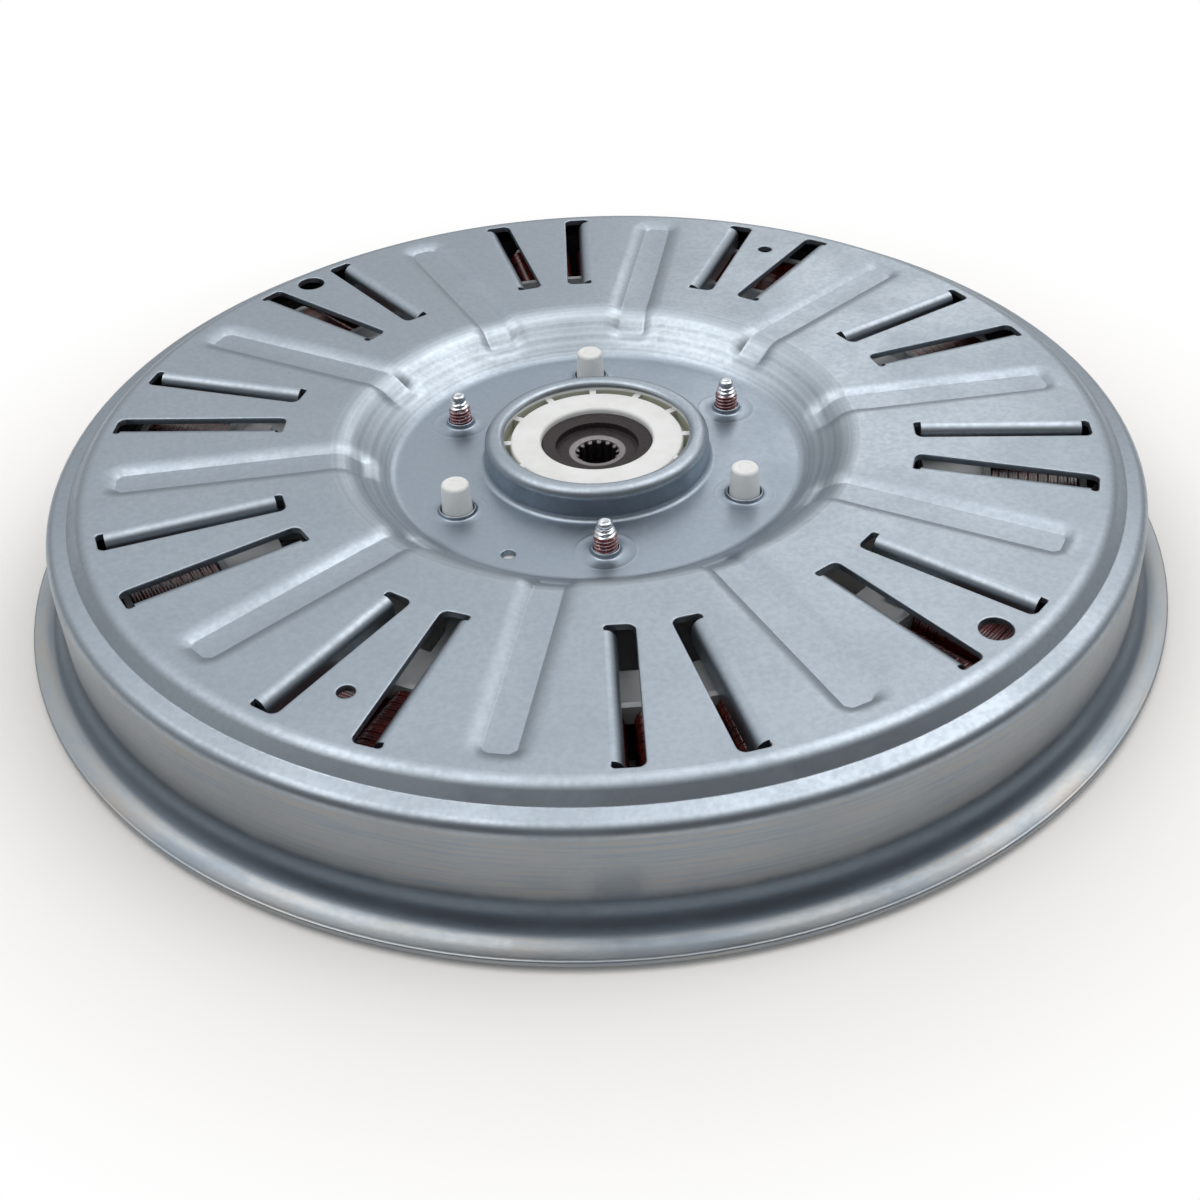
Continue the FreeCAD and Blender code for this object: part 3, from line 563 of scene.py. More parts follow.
# the flat of the dish with its six extruded collars, and the rolled collar round the hub
def hubSheet():
    c, f = cup, fasteners
    outer = []
    for pair in range(slots["pairs"]):
        centre = math.radians(slots["firstDegrees"]) + pair * 2 * halfPair
        for angle in columnAngles(c["floorSeam"]):
            outer += [centre + angle, centre - angle]
    outer = sorted(set(round(a % fullTurn, 9) for a in outer))
    ring = [polar(c["floorSeam"], a) for a in outer]
    ring = [p for p, q in zip(ring, ring[1:] + ring[:1]) if math.dist(p, q) > 0.01]
    hubColumns = 160
    hubAngles = [-fullTurn * k / hubColumns for k in range(hubColumns + 1)]
    inner = [polar(c["collarSeam"], a) for a in hubAngles[:-1]]
    chains = [(ring, True), (inner, True)]
    heights = {}
    gaps = [inner]
    holes = [(f["circle"], f[kind + "Degrees"] + 120 * i, f[kind + "Collar"]) for kind in ("bolt", "pin")
             for i in range(f["count"])]
    drain = [(smallHoles["drainRadius"], -0.3), (smallHoles["drainRadius"] + 0.12, -0.08),
             (smallHoles["drainRadius"] + 0.4, 0.0)]
    holes.append((smallHoles["drainPlace"], smallHoles["drainDegrees"], drain))
    for place, degrees, rings in holes:
        x0, y0 = around(place, degrees)
        for number, (radius, height) in enumerate(rings):
            sides = f["columns"]
            loop = [polar(radius, fullTurn * k / sides, x0, y0) for k in range(sides)]
            first = sum(len(chain[0]) for chain in chains)
            heights.update({first + k: height for k in range(sides)})
            chains.append((loop, True))
            if number == 0:
                gaps.append(loop)
    flat, faces, origins = triangulated(chains, ring, gaps)
    lift = [max((heights.get(i, 0.0) for i in sources), key=abs, default=0.0) for sources in origins]
    top = np.array([(p[0], p[1], dishTop + h) for p, h in zip(flat, lift)])
    under = np.array([(p[0], p[1], dishTop - c["sheet"]) for p in flat])
    rows = roundedRows([(c["collarSeam"], dishTop), (c["collarRadius"], dishTop, c["collarFoot"]),
                        (c["collarRadius"], crest, c["collarRoll"]),
                        (c["mouthRadius"] + c["mouthLean"], crest, c["mouthRoll"]),
                        (c["mouthRadius"], crest - c["mouthDrop"])])
    sheets = (top, under, faces), sheetGrid(rows, lambda row: hubAngles)
    return meshObject("hubSheet", *stacked(doubled(*sheet, cupSeam) for sheet in sheets))


# Geometry Nodes: the ten sectors of the cup, two of them with a gauge hole and two with an index hole
def sectorTree():
    tree, put = newTree("cupSectors", {"Plain": "Object", "Gauge": "Object", "Index": "Object", "Pairs": "Int",
                                       "Gauge Pair": "Int", "Index Pair": "Int", "First Angle": "Float",
                                       "Weld": "Float"})
    given, index = put("NodeGroupInput").outputs, put("GeometryNodeInputIndex")
    share = put("ShaderNodeMath", index, given["Pairs"], operation="DIVIDE")
    angle = put("sum", put("product", share, fullTurn), given["First Angle"])
    half = put("ShaderNodeMath", given["Pairs"], 2.0, operation="DIVIDE")
    inHalf = put("ShaderNodeMath", index, half, operation="MODULO")
    isGauge, isIndex = [put("ShaderNodeMath", inHalf, given[name], 0.1, operation="COMPARE")
                        for name in ("Gauge Pair", "Index Pair")]
    isPlain = put("ShaderNodeMath", 1.0, put("sum", isGauge, isIndex), operation="SUBTRACT")
    points, merged = put("GeometryNodePoints", given["Pairs"]), put("GeometryNodeJoinGeometry")
    for name, chosen in (("Plain", isPlain), ("Gauge", isGauge), ("Index", isIndex)):
        connect(merged, {0: put("GeometryNodeInstanceOnPoints", {
            "Points": points, "Selection": chosen,
            "Instance": put("GeometryNodeObjectInfo", {"Object": given[name]}).outputs["Geometry"],
            "Rotation": put("ShaderNodeCombineXYZ", {"Z": angle})})})
    plain = put("GeometryNodeRealizeInstances", merged)
    put("NodeGroupOutput", put("GeometryNodeMergeByDistance", plain, {"Distance": given["Weld"]}))
    return tree


def makeCup(material):
    h = smallHoles
    sectors = [cupSector("plainSector"), cupSector("gaugeSector", h["gaugeRadius"], h["gaugePlace"]),
               cupSector("indexSector", h["indexRadius"], h["indexPlace"])]
    ring = runTree("sectorRing", sectorTree(), **{
        "Plain": sectors[0], "Gauge": sectors[1], "Index": sectors[2], "Pairs": slots["pairs"],
        "Gauge Pair": h["gaugePair"], "Index Pair": h["indexPair"],
        "First Angle": math.radians(slots["firstDegrees"]), "Weld": 0.003 * mm})
    for sector in sectors:
        bpy.data.objects.remove(sector)
    piece = joinShapes("galvanisedCup", [ring, hubSheet()], material, 0.004)
    return smoothed(piece, 50)


# Finishes. Sizes of patterns are in millimetres on the object, and a pair is a fade from none to full.

# noise of a real size, faded between two of its values
def mottle(put, place, size, low, high, detail=3.0):
    return put("fade", put("noise", place, 1 / (size * mm), detail), low, high)


# 1 inside the fades that are given in millimetres, 0 outside
def zone(put, *fades):
    shares = [put("fade", value, low * mm, high * mm) for value, low, high in fades]
    return shares[0] if len(shares) == 1 else put("product", *shares)


def heightAndRadius(put, place):
    parts = put("ShaderNodeSeparateXYZ", place).outputs
    flat = put("ShaderNodeCombineXYZ", parts["X"], parts["Y"])
    return parts["Z"], put("ShaderNodeVectorMath", flat, operation="LENGTH")


# level distance to the nearest of some spots, in metres
def nearest(put, place, spots):
    parts = put("ShaderNodeSeparateXYZ", place).outputs
    flat = put("ShaderNodeCombineXYZ", parts["X"], parts["Y"])
    away = [put("ShaderNodeVectorMath", flat, (x * mm, y * mm, 0), operation="DISTANCE") for x, y in spots]
    return reduce(lambda first, second: put("ShaderNodeMath", first, second, operation="MINIMUM"), away)


steel = {"light": "#a1abb5", "dark": "#98a2ac", "smudge": "#8b959f", "wall": "#989da1", "scuff": "#a39c94",
         "fold": "#6f7984", "dishFloorShade": "#8b97a4", "draw": "#b3bdc5", "drawRing": 1.1, "grain": 1.3, "cloud": 26.0,
         "scuffs": (22, 22, 0.7), "relief": 0.006, "stain": (-17.0, -136.0), "boss": 7.9,
         "dishOuter": (70, 65), "dishInner": (51, 54), "wallOut": (134.8, 136.4), "wallTop": (29.6, 27.4),
         "stainSize": (13, 6), "stainTop": (24, 16), "footTop": (14, 11), "footLow": (4.4, 7),
         "foldIn": (138.4, 139.6), "foldOut": (142.0, 140.8), "outside": (134, 136),
         "floorOut": (57, 50), "floorIn": (27, 31), "rough": (0.34, 0.42), "grainRough": 0.06,
         "smudged": 0.35, "drawn": 0.6, "scuffed": 0.5, "stained": 0.5, "shaded": 0.6}


# zinc-coated sheet: a soft silvery sheen with faint grey mottling, and scuffs on the drawn side
def galvanisedSteel():
    material, put, place = newMaterial("galvanisedSheetSteel", Metallic=1.0)
    s = steel
    height, radius = heightAndRadius(put, place)
    fine = mottle(put, place, s["grain"], 0.3, 0.7, 4.0)
    cloud = mottle(put, place, s["cloud"], 0.35, 0.7)
    ringNoise = put("noise", {"W": radius, "Scale": 1 / (s["drawRing"] * mm), "Roughness": 0.5},
                    noise_dimensions="1D")
    onSide = zone(put, (radius, *s["dishOuter"]), (radius, *s["dishInner"]))
    rings = put("product", onSide, put("fade", ringNoise, 0.3, 0.7))
    onWall = zone(put, (radius, *s["wallOut"]), (height, *s["wallTop"]))
    along = put("ShaderNodeMapping", {"Vector": place, "Scale": [1 / (size * mm) for size in s["scuffs"]]})
    scuffs = put("noise", along, 1.0)
    tone = put("paint", fine, s["light"], s["dark"])
    tone = put("paint", put("product", cloud, s["smudged"]), tone, s["smudge"])
    tone = put("paint", put("product", rings, s["drawn"]), tone, s["draw"])
    # painted shade: the drawn side gets a darker base tone than the top, with smudges and brownish scuffs over it
    wallTone = put("paint", put("fade", scuffs, 0.45, 0.75), s["wall"], s["smudge"])
    wallTone = put("paint", put("product", put("fade", scuffs, 0.5, 0.3), s["scuffed"]), wallTone, s["scuff"])
    tone = put("paint", onWall, tone, wallTone)
    # a dark stain low on the cup's side, and painted shade in the crease under it
    uneven = put("product", put("noise", place, 1 / (9.0 * mm)), 3 * mm)
    edge = put("sum", height, uneven)
    ragged = put("product", put("noise", place, 1 / (4.0 * mm)), 8 * mm)
    away = put("sum", nearest(put, place, [s["stain"]]), ragged)
    stained = put("product", zone(put, (away, *s["stainSize"]), (edge, *s["stainTop"])), onWall)
    tone = put("paint", put("product", stained, s["stained"]), tone, s["fold"])
    # painted shade: the low side and the crease into the rim are painted darker; the stain above uses the same colour
    wallFoot = zone(put, (edge, *s["footTop"]), (height, *s["footLow"]))
    foldShade = put("sum", wallFoot, zone(put, (radius, *s["foldIn"]), (radius, *s["foldOut"])))
    tone = put("paint", put("product", foldShade, zone(put, (radius, *s["outside"]))), tone, s["fold"])
    # painted shade: the dish floor inside the knuckle is painted darker
    shadedDishFloor = zone(put, (radius, *s["floorOut"]), (radius, *s["floorIn"]))
    tone = put("paint", put("product", shadedDishFloor, s["shaded"]), tone, s["dishFloorShade"])
    rough = put("sum", put("fade", cloud, 0.0, 1.0, *s["rough"]), put("product", fine, s["grainRough"]))
    # relief: grain, draw rings, scuffs and the round impression about each collar
    relief = put("sum", fine, put("product", rings, 2.0))
    relief = put("sum", relief, put("product", put("product", scuffs, onWall), 2.0))
    boss = nearest(put, place, [around(fasteners["circle"], fasteners["boltDegrees"] + 60 * k) for k in range(6)])
    pressed = put("fade", boss, (s["boss"] - 0.4) * mm, s["boss"] * mm, 6.0, 0.0)
    return finished(material, tone, rough, put("sum", relief, pressed), s["relief"])


# where the moat round the cap lies, and how far down its side is painted with shade under the collar's lip
moatShadeZone = {"inner": (22.35, 22.6), "outer": (25.6, 25.2), "depth": (31.2, 30.9)}


# glass-filled nylon as moulded: matt off-white with a faint flow of tone
def whitePolyamide(name, pale, shade, roughness=0.5, moat=None):
    material, put, place = newMaterial(name)
    tone = put("paint", mottle(put, place, 9.0, 0.35, 0.7), pale, shade)
    # painted shade: the moat under the collar's lip is painted a darker beige
    if moat:
        height, radius = heightAndRadius(put, place)
        moatShade = zone(put, (radius, *moatShadeZone["inner"]), (radius, *moatShadeZone["outer"]))
        tone = put("paint", put("product", moatShade, zone(put, (height, *moatShadeZone["depth"]))), tone, moat)
    specks = put("product", mottle(put, place, 0.9, 0.68, 0.74, 2.0), 0.2)
    tone = put("paint", specks, tone, "#a8a49a")
    return finished(material, tone, roughness, put("noise", place, 1 / (0.5 * mm)), 0.008)


burnish = {"out": (7.5, 7.1), "up": (26.0, 26.9)}


# pressed and sintered iron: dark, porous, a little brown, its bore ring burnished
def sinteredSteel():
    material, put, place = newMaterial("sinteredIron", Metallic=0.85)
    height, radius = heightAndRadius(put, place)
    pores = mottle(put, place, 0.35, 0.35, 0.65)
    burnished = zone(put, (radius, *burnish["out"]), (height, *burnish["up"]))
    tone = put("paint", burnished, put("paint", pores, "#312d2f", "#4b4647"), "#8b888b")
    return finished(material, tone, put("fade", pores, 0.0, 1.0, 0.5, 0.68), pores, 0.04)


threadLock = {"top": (31.8, 31.1), "foot": (22, 23), "crest": (2.93, 2.75), "worn": 0.35}


# bright zinc on cold-forged steel, with dried dark-red thread-lock in the lower turns
def zincPlated():
    material, put, place = newMaterial("zincPlatedSteel")
    height = heightAndRadius(put, place)[0]
    patch = put("product", put("noise", place, 1 / (1.6 * mm)), 2.2 * mm)
    lowered = put("sum", height, patch)
    lock = zone(put, (lowered, *threadLock["top"]), (height, *threadLock["foot"]))
    bare = mottle(put, place, 0.7, 0.6, 0.7, 2.0)
    lock = put("product", lock, put("fade", bare, 0.0, 1.0, 1.0, threadLock["worn"]))
    # the crests of the thread are wiped cleaner than its roots
    axes = [around(fasteners["circle"], fasteners["boltDegrees"] + 120 * k) for k in range(fasteners["count"])]
    outer, inner = [radius * mm for radius in threadLock["crest"]]
    lock = put("product", lock, put("fade", nearest(put, place, axes), outer, inner, threadLock["worn"], 1.0))
    zinc = put("paint", mottle(put, place, 0.8, 0.3, 0.7), "#d3d8dd", "#b4bac2")
    tone, rough = put("paint", lock, zinc, "#6e1f25"), put("fade", lock, 0.0, 1.0, 0.22, 0.4)
    return finished(material, tone, rough, put("noise", place, 1 / (0.4 * mm), 2.0), 0.005,
                    Metallic=put("fade", lock, 0.0, 1.0, 1.0, 0.15))


# winding wire: copper seen through dark red baked enamel, glossy over each turn
def enamelledCopper():
    material, put, place = newMaterial("enamelledWindingWire", **{
        "Metallic": 0.3, "Coat Weight": 0.7, "Coat Roughness": 0.1})
    tone = put("paint", mottle(put, place, 3.5, 0.3, 0.7), "#641d17", "#38100e")
    return finished(material, tone, put("fade", put("noise", place, 1 / (2.0 * mm)), 0.3, 0.7, 0.26, 0.42))


# punched silicon steel: each sheet's edge shows as a fine line
def laminatedSteel():
    material, put, place = newMaterial("laminatedSteel", Metallic=0.9)
    height = heightAndRadius(put, place)[0]
    sheetPitch = 0.5 * mm
    wave = put("ShaderNodeMath", put("product", height, fullTurn / sheetPitch), operation="SINE")
    lines = put("fade", wave, -1.0, 1.0)
    tone = put("paint", mottle(put, place, 6.0, 0.55, 0.8), put("paint", lines, "#4d4f53", "#7d8084"), "#5f5248")
    return finished(material, tone, 0.45, lines, 0.05)


# one tone with a fine grain: for small parts that differ in colour, gloss and grain size
def grained(name, pale, dark, grain, roughness, metallic=0.0, depth=0.02):
    material, put, place = newMaterial(name, Metallic=metallic)
    grains = mottle(put, place, grain, 0.3, 0.7)
    rough = put("fade", grains, 0.0, 1.0, roughness, roughness + 0.12)
    return finished(material, put("paint", grains, pale, dark), rough, grains, depth)


cupSteel = galvanisedSteel()
# the moat's beige is painted shade under the collar's lip
bushingPlastic = whitePolyamide("mouldedWhitePolyamide", "#e8ebec", "#dfe2e1", moat="#b4b6a6")
insulatorPlastic = whitePolyamide("insulatorPolyester", "#c4c8cb", "#b2b6b9", 0.45)
insertIron = sinteredSteel()
boltZinc = zincPlated()
wireEnamel = enamelledCopper()
coreSteel = laminatedSteel()
nodeFinishes = {
    "stator_core": coreSteel,
    "core_rivets": grained("rivetSteel", "#9a9da0", "#7f8286", 0.8, 0.32, 1.0),
    "mounting_sleeves": grained("sleeveZinc", "#c6cbd0", "#a9afb5", 1.0, 0.3, 1.0),
    "power_terminals": grained("tinnedBrass", "#cfcbb8", "#b8b29a", 0.7, 0.28, 1.0),
    "sensor_holder": grained("blackGlassPolyester", "#232426", "#17181a", 0.6, 0.45),
    "sensor_board": grained("greenCircuitBoard", "#1f5a3a", "#184a30", 0.9, 0.35),
    "hall_sensors": grained("blackEpoxy", "#1b1b1c", "#262627", 0.3, 0.5),
    "sensor_pins": grained("tinnedPins", "#d4d2c8", "#bdbaad", 0.4, 0.25, 1.0),
    "sensor_screws": boltZinc,
}
ferrite = grained("sinteredFerrite", "#3a3a3d", "#2a2a2c", 1.2, 0.55, 0.2, 0.04)
mouldings = ("upper_insulator", "lower_insulator", "upper_bosses", "lower_bosses", "socket_housing")
nodeFinishes.update({name: insulatorPlastic for name in mouldings})
nodeFinishes.update({name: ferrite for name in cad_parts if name.startswith("magnet_")})
for name, finish in nodeFinishes.items():
    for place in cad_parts[name].material_slots:
        place.material = finish
print("finishes made")


# Small solids: a closed skin through rows of points, and bodies turned from a rounded section

def skinned(name, rows, closedRows, material):
    across = len(rows[0])
    points = [p for row in rows for p in row]
    faces = []
    last = len(rows) if closedRows else len(rows) - 1
    for i in range(last):
        a, b = i * across, (i + 1) % len(rows) * across
        faces += [(a + k, a + (k + 1) % across, b + (k + 1) % across, b + k) for k in range(across)]
    if not closedRows:
        faces += [tuple(range(across))[::-1], tuple(range(len(points) - across, len(points)))]
    shape = meshObject(name, points, faces, material)
    solid = bmesh.new()
    solid.from_mesh(shape.data)
    weld = 0.0005
    bmesh.ops.remove_doubles(solid, verts=solid.verts, dist=weld * mm)
    bmesh.ops.recalc_face_normals(solid, faces=solid.faces)
    solid.to_mesh(shape.data)
    solid.free()
    return shape


# a closed section's corners (radius, height, rounding) as plain points
def roundedSection(corners, steps=4):
    result = []
    for i, (x, z, *given) in enumerate(corners):
        radius = given[0] if given else 0.0
        here = np.array([x, z])
        before, after = np.array(corners[i - 1][:2]), np.array(corners[(i + 1) % len(corners)][:2])
        d1, d2 = (before - here) / np.linalg.norm(before - here), (after - here) / np.linalg.norm(after - here)
        if not radius:
            result.append(here)
            continue
        half = math.acos(max(-1.0, min(1.0, float(d1 @ d2)))) / 2
        reach = radius / math.tan(half)
        centre = here + (d1 + d2) / np.linalg.norm(d1 + d2) * radius / math.sin(half)
        first, last = here + d1 * reach - centre, here + d2 * reach - centre
        turn = math.atan2(first[0] * last[1] - first[1] * last[0], float(first @ last))
        for k in range(steps + 1):
            c, s = math.cos(turn * k / steps), math.sin(turn * k / steps)
            result.append(centre + np.array([first[0] * c - first[1] * s, first[0] * s + first[1] * c]))
    return result


def turnedBody(name, corners, columns, material, steps=4, radiusOf=None):
    section = roundedSection(corners, steps)
    angles = [fullTurn * k / columns for k in range(columns)]
    change = radiusOf or (lambda radius, height, angle: radius)
    return skinned(name, [[(*polar(change(r, z, a), a), z) for a in angles] for r, z in section], True, material)


def roundedBar(name, x, y, z, edge, material):
    solid = bmesh.new()
    size = Matrix.Diagonal(((x[1] - x[0]) * mm, (y[1] - y[0]) * mm, (z[1] - z[0]) * mm, 1.0))
    middle = Matrix.Translation(Vector((sum(x), sum(y), sum(z))) / 2 * mm)
    bmesh.ops.create_cube(solid, size=1.0, matrix=middle @ size)
    bmesh.ops.bevel(solid, geom=solid.edges[:], offset=edge * mm, segments=2, affect="EDGES", profile=0.5)
    return fromSolid(name, solid, material)


placePiece(makeCup(cupSteel), "rotor", "galvanised_steel", "rotor_cup")
print("rotor cup made")

# Hub bushing: a white moulding with a cap, a moat crossed by spokes, ribs below and three pins

dishUnder = dishTop - cup["sheet"]
bushing = {
    "radius": 49.0, "flange": 5.0, "hubRadius": 22.0, "foot": 5.0, "capRadius": 22.3, "capTop": crest - 2.4,
    "capRound": 0.6, "bore": 14.4, "boreRound": 0.9, "moatRadius": 24.4, "moatDepth": 3.9, "neckDrop": 2.1,
    "spokes": 12, "spokeWidth": 1.9, "spokeDrop": 0.15, "ribWidth": 2.4, "ribDepth": 5.0, "pinRadius": 4.0,
    "pinTop": 3.45, "pinRound": 0.9, "pinRing": 1.75,
}


def makeBushing():
    b = bushing
    neck = cup["collarRadius"] - cup["sheet"] - 0.3
    neckTop = crest - b["neckDrop"]
    moatFloor = b["capTop"] - b["moatDepth"]
    under = dishUnder - b["flange"]
    body = turnedBody("bushingBody", [
        (b["bore"], b["foot"], 0.4), (b["hubRadius"], b["foot"], 0.8), (b["hubRadius"], under, 1.2),
        (b["radius"], under, 0.6), (b["radius"], dishUnder, 0.5), (neck, dishUnder, 0.3), (neck, neckTop, 0.4),
        (b["moatRadius"], neckTop, 0.3), (b["moatRadius"], moatFloor, 0.5), (b["capRadius"], moatFloor, 0.5),
        (b["capRadius"], b["capTop"], b["capRound"]), (b["bore"], b["capTop"], b["boreRound"])], 144, bushingPlastic)
    halfWidth = b["spokeWidth"] / 2
    spoke = roundedBar("spoke", (b["capRadius"] - 1, b["moatRadius"] + 0.6), (-halfWidth, halfWidth),
                       (moatFloor - 0.5, b["capTop"] - b["spokeDrop"]), 0.25, bushingPlastic)
    step = 360 / b["spokes"]
    spokes = copiesRound("spokes", spoke, b["spokes"], fasteners["boltDegrees"], 0.0, bushingPlastic)
    ribRows = [[(r, y, z) for r, z in ((b["hubRadius"] - 1, under + 0.5), (b["radius"] - 0.8, under + 0.5),
                                       (b["radius"] - 0.8, under - 0.2), (b["hubRadius"] - 1, under - b["ribDepth"]))]
               for y in (-b["ribWidth"] / 2, b["ribWidth"] / 2)]
    ribs = copiesRound("ribs", skinned("rib", ribRows, False, bushingPlastic), b["spokes"],
                       fasteners["boltDegrees"] + step / 2, 0.0, bushingPlastic)
    tip, ring = fasteners["pinTip"], b["pinRing"]
    pin = turnedBody("pin", [
        (0.001, dishUnder - 1), (b["pinRadius"], dishUnder - 1), (b["pinTop"], tip, b["pinRound"]),
        (ring + 0.16, tip), (ring, tip - 0.1), (ring - 0.16, tip), (0.001, tip)], 40, bushingPlastic, steps=5)
    pins = copiesRound("pins", pin, fasteners["count"], fasteners["pinDegrees"], fasteners["circle"], bushingPlastic)
    return smoothed(joinShapes("whiteBushing", [body, spokes, ribs, pins], bushingPlastic), 40)


placePiece(makeBushing(), "rotor", "white_polyamide", "hub_bushing")

# Splined insert: a cone, a seat for the shaft's nut, a lighter ring and the serrated bore

insert = {
    "radius": 14.3, "foot": 4.2, "edge": bushing["capTop"] - 1.3, "coneDrop": 0.9, "seatRadius": 10.7,
    "seatDepth": 1.8, "ringRadius": 7.7, "ringDip": 0.3, "bore": 5.7, "pilot": 7.0, "pilotLength": 7.8,
    "teeth": 14, "toothRadius": 0.68, "toothPlace": 5.53, "columns": 196,
}


def makeInsert():
    n = insert
    seatTop = n["edge"] - n["coneDrop"]
    seat = seatTop - n["seatDepth"]
    splineFoot = n["foot"] + n["pilotLength"]

    def serrated(radius, height, angle):
        if radius > n["bore"] + 0.05 or not splineFoot - 0.01 < height < seat - n["ringDip"] - 0.3:
            return radius
        off = (angle + halfTurn / n["teeth"]) % (fullTurn / n["teeth"]) - halfTurn / n["teeth"]
        across = n["toothPlace"] * math.sin(off)
        if abs(across) >= n["toothRadius"]:
            return radius
        return min(radius, n["toothPlace"] * math.cos(off) - math.sqrt(n["toothRadius"] ** 2 - across ** 2))

    ringFoot = seat - n["ringDip"]
    body = turnedBody("splinedInsert", [
        (n["pilot"], n["foot"], 0.4), (n["radius"], n["foot"], 0.6), (n["radius"], n["edge"], 0.35),
        (n["seatRadius"], seatTop, 0.25), (n["seatRadius"], seat, 0.3), (n["ringRadius"], seat, 0.15),
        (n["bore"], ringFoot, 0.15), (n["bore"], ringFoot - 0.25), (n["bore"], ringFoot - 0.7),
        (n["bore"], splineFoot), (n["pilot"], splineFoot, 0.2)], n["columns"], insertIron, radiusOf=serrated)
    return smoothed(body, 35)


placePiece(makeInsert(), "rotor", "sintered_steel", "splined_insert")

# Bolts: rolled thread, cone and round nose above; flange and hexagon head below

bolt = {"crest": 2.95, "root": 2.38, "pitch": 1.0, "threadFoot": 22.2, "taper": 2.6, "nose": 1.5, "noseRadius": 2.15,
        "washerRadius": 6.5, "washer": 1.2, "across": 10.0, "head": 4.0, "columns": 28}


def makeBolts():
    b = bolt
    tip = fasteners["boltTip"]
    under = dishUnder - bushing["flange"]
    threadTop = tip - b["nose"]
    perTurn = 6
    angles = [fullTurn * k / b["columns"] for k in range(b["columns"])]

    def threadRow(z, limit):
        row = []
        for a in angles:
            phase = (z / b["pitch"] - a / fullTurn) % 1.0
            ridge = max(0.0, 1 - abs(phase - 0.5) / 0.42)
            row.append((limit - (b["crest"] - b["root"]) * (1 - min(1.0, ridge * 1.25)), a, z))
        return row

    count = int((threadTop - b["threadFoot"]) / b["pitch"] * perTurn)
    rows = [[(b["root"], a, under - 0.5) for a in angles]]
    for k in range(count + 1):
        z = b["threadFoot"] + (threadTop - b["threadFoot"]) * k / count
        share = max(0.0, (z - (threadTop - b["taper"])) / b["taper"])
        rows.append(threadRow(z, b["crest"] - (b["crest"] - b["noseRadius"]) * share))
    for radius, drop in ((1.95, 1.42), (2.0, 1.3), (2.0, 0.9), (1.88, 0.5), (1.62, 0.2), (1.3, 0.04), (1.0, 0.0),
                         (0.75, 0.08), (0.3, 0.14)):
        rows.append([(radius, a, tip - drop) for a in angles])
    shank = skinned("shank", [[(*polar(r, a), z) for r, a, z in row] for row in rows], False, boltZinc)
    washer = turnedBody("flange", [
        (0.001, under - b["washer"]), (b["washerRadius"], under - b["washer"], 0.3),
        (b["washerRadius"], under - 0.05, 0.2), (0.001, under - 0.05)], 48, boltZinc, steps=3)
    corner = b["across"] / math.sqrt(3)
    sixth = [fullTurn * k / 6 for k in range(6)]
    low, high = under - b["head"], under - b["washer"] + 0.1
    headRows = [[(*polar(r, a), z) for a in sixth]
                for r, z in ((corner * 0.82, low), (corner * 0.95, low + 0.25), (corner, low + 0.8), (corner, high))]
    head = skinned("head", headRows, False, boltZinc)
    one = joinShapes("bolt", [shank, washer, head], boltZinc, 0.0005)
    return smoothed(copiesRound("hubBolts", one, fasteners["count"], fasteners["boltDegrees"], fasteners["circle"],
                                boltZinc), 50)


placePiece(makeBolts(), "rotor", "zinc_plated_steel", "hub_bolts")
print("hub made")

# Coils: wire laid in close turns round each tooth, wider outwards, in three phases

coils = {"teeth": 36, "phases": 3, "start": 100.5, "end": 121.6, "foot": 4.1, "top": 26.9, "window": 10.1,
         "sideInner": 2.8, "sideOuter": 4.4, "corner": 2.6, "windowLow": 7.25, "windowHigh": 23.75,
         "wirePitch": 0.8, "wireDepth": 0.15, "wireRound": 0.6, "uneven": 0.05, "rowsPerTurn": 4, "cornerSteps": 5}


def makeCoil():
    c = coils
    turns = round((c["end"] - c["start"]) / c["wirePitch"])
    count = turns * c["rowsPerTurn"]
    outer, inner = [], []
    for k in range(count + 1):
        share = k / count
        x = c["start"] + (c["end"] - c["start"]) * share
        half = c["window"] / 2 + c["sideInner"] + (c["sideOuter"] - c["sideInner"]) * share
        wire = abs(math.sin(halfTurn * turns * share)) ** c["wireRound"]
        uneven = c["uneven"] * math.sin(2.1 * math.floor(turns * share + 0.001)) - c["uneven"]
        inset = c["wireDepth"] * (1 - wire) - uneven * (0 < share < 1)
        side, foot, top = half - inset, c["foot"] + inset, c["top"] - inset
        corners = (side, foot), (side, top), (-side, top), (-side, foot)
        loop = roundedSection([(y, z, c["corner"]) for y, z in corners], c["cornerSteps"])
        outer.append([(x, y, z) for y, z in loop])
        inner.append([(x, *np.clip((y, z), (-c["window"] / 2, c["windowLow"]), (c["window"] / 2, c["windowHigh"])))
                      for y, z in loop])
    return skinned("coil", outer + [inner[-1], inner[0]], True, wireEnamel)


for phase in range(coils["phases"]):
    winding = copiesRound("windingPhase%d" % (phase + 1), makeCoil(), coils["teeth"] // coils["phases"],
                          phase * 360 / coils["teeth"], 0.0, wireEnamel)
    placePiece(smoothed(winding, 60), "stator", "enamelled_copper", "winding_phase_%d" % (phase + 1))
print("coils made")


# Floor, lamps and camera

studio = {"floorReach": 4.0, "floor": "#fbfbfa", "fadeFrom": 0.148, "fadeTo": 0.22, "world": 0.56,
          "farRise": (0.0, 0.85), "farSide": (0.28, 1.24), "viewerRise": (0.74, 1.03),
          "viewerSide": (0.16, 1.15), "sky": "#ffffff", "lampTint": "#fffaf5",
          "lamps": (("right", (0.58, 0.16, 1.04), 0.85, 3.9), ("left", (-0.52, -0.02, 1.1), 0.85, 3.5),
                    ("back", (0.42, 1.05, 0.64), 0.35, 0.6))}


def backdropRays(put):
    rays = put("ShaderNodeLightPath").outputs
    seen = put("sum", rays["Is Camera Ray"], rays["Is Glossy Ray"])
    return put("sum", seen, rays["Is Transmission Ray"], use_clamp=True)


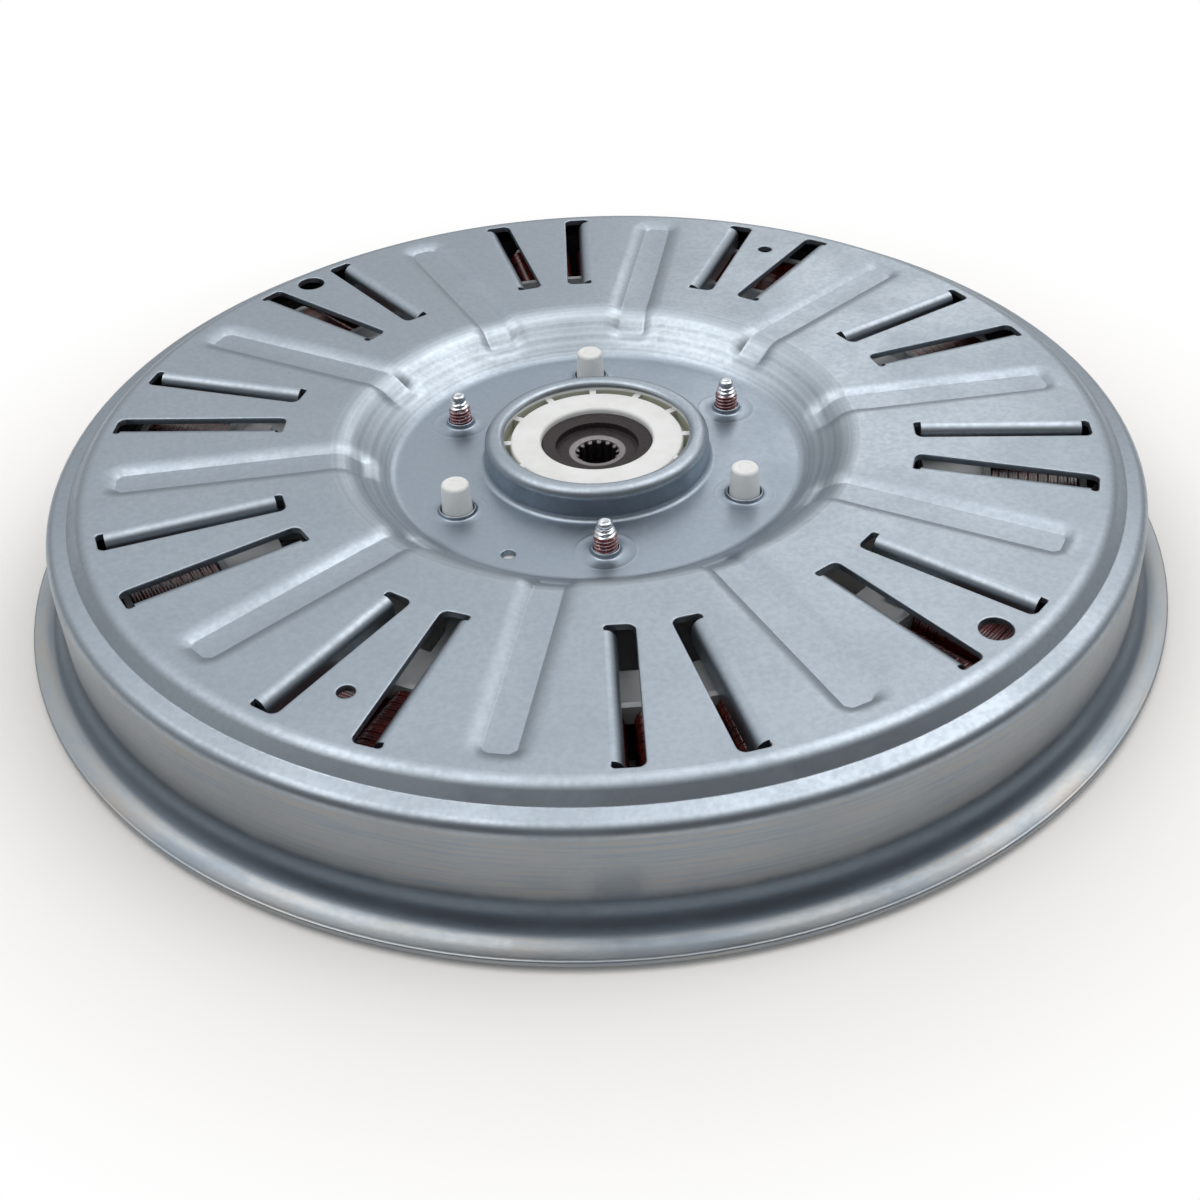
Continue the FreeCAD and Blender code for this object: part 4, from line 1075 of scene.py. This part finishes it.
def makeFloor():
    s = studio
    reach = s["floorReach"] / mm
    floor = meshObject("floor", [(-reach, -reach, 0), (reach, -reach, 0), (reach, reach, 0), (-reach, reach, 0)],
                       [(0, 1, 2, 3)])
    material, put, place = newMaterial("paleFloor", **{"Specular IOR Level": 0.1})
    radius = heightAndRadius(put, place)[1]
    away = put("product", put("fade", radius, s["fadeFrom"], s["fadeTo"]), backdropRays(put))
    nodes = material.node_tree.nodes
    white = put("ShaderNodeEmission", "#ffffff", 1.0)
    connect(nodes["Material Output"], {0: put("ShaderNodeMixShader", away, nodes["Principled BSDF"], white)})
    floor.data.materials.append(finished(material, s["floor"], 0.9))


def makeWorld():
    world = bpy.data.worlds.new("studioWorld")
    bpy.context.scene.world = world
    world.use_nodes = True
    world.node_tree.nodes.clear()
    put = partial(addNode, world.node_tree)
    parts = put("ShaderNodeSeparateXYZ", put("ShaderNodeTexCoord").outputs["Generated"]).outputs
    far = put("fade", parts["Z"], *studio["farRise"], *studio["farSide"])
    near = put("fade", parts["Z"], *studio["viewerRise"], *studio["viewerSide"])
    level = put("ShaderNodeMix", put("fade", parts["Y"], -0.45, 0.25), near, far)
    strength = put("ShaderNodeMix", backdropRays(put), studio["world"], level)
    direct = put("ShaderNodeLightPath").outputs["Is Camera Ray"]
    sky = put("ShaderNodeBackground", studio["sky"], put("ShaderNodeMix", direct, strength, 1.0))
    put("ShaderNodeOutputWorld", sky)


def makeLamps():
    for name, spot, size, power in studio["lamps"]:
        light = bpy.data.lights.new(name, "AREA")
        light.size = size
        light.energy = power
        light.color = hexColour(studio["lampTint"])[:3]
        lamp = linked(name, light)
        lamp.location = spot
        lamp.rotation_euler = (-Vector(spot)).to_track_quat("-Z", "Y").to_euler()


def makeCamera():
    spot, target = Vector((-44.843, -348.367, 251.863)) * mm, Vector((2.907, -40.810, 20.0)) * mm
    view = bpy.data.cameras.new("view")
    view.sensor_width = 36.0
    view.lens = 48.112
    view.shift_x, view.shift_y = -0.03, -0.03
    view.clip_start = 0.01
    camera = linked("camera", view)
    turn = (target - spot).to_track_quat("-Z", "Y").to_matrix().to_4x4()
    camera.matrix_world = Matrix.Translation(spot) @ turn @ Matrix.Rotation(math.radians(-1.7036), 4, "Z")
    bpy.context.scene.camera = camera


makeFloor()
makeWorld()
makeLamps()
makeCamera()
bpy.context.scene.view_settings.view_transform = "Standard"
bpy.context.view_layer.update()
print("stage set")
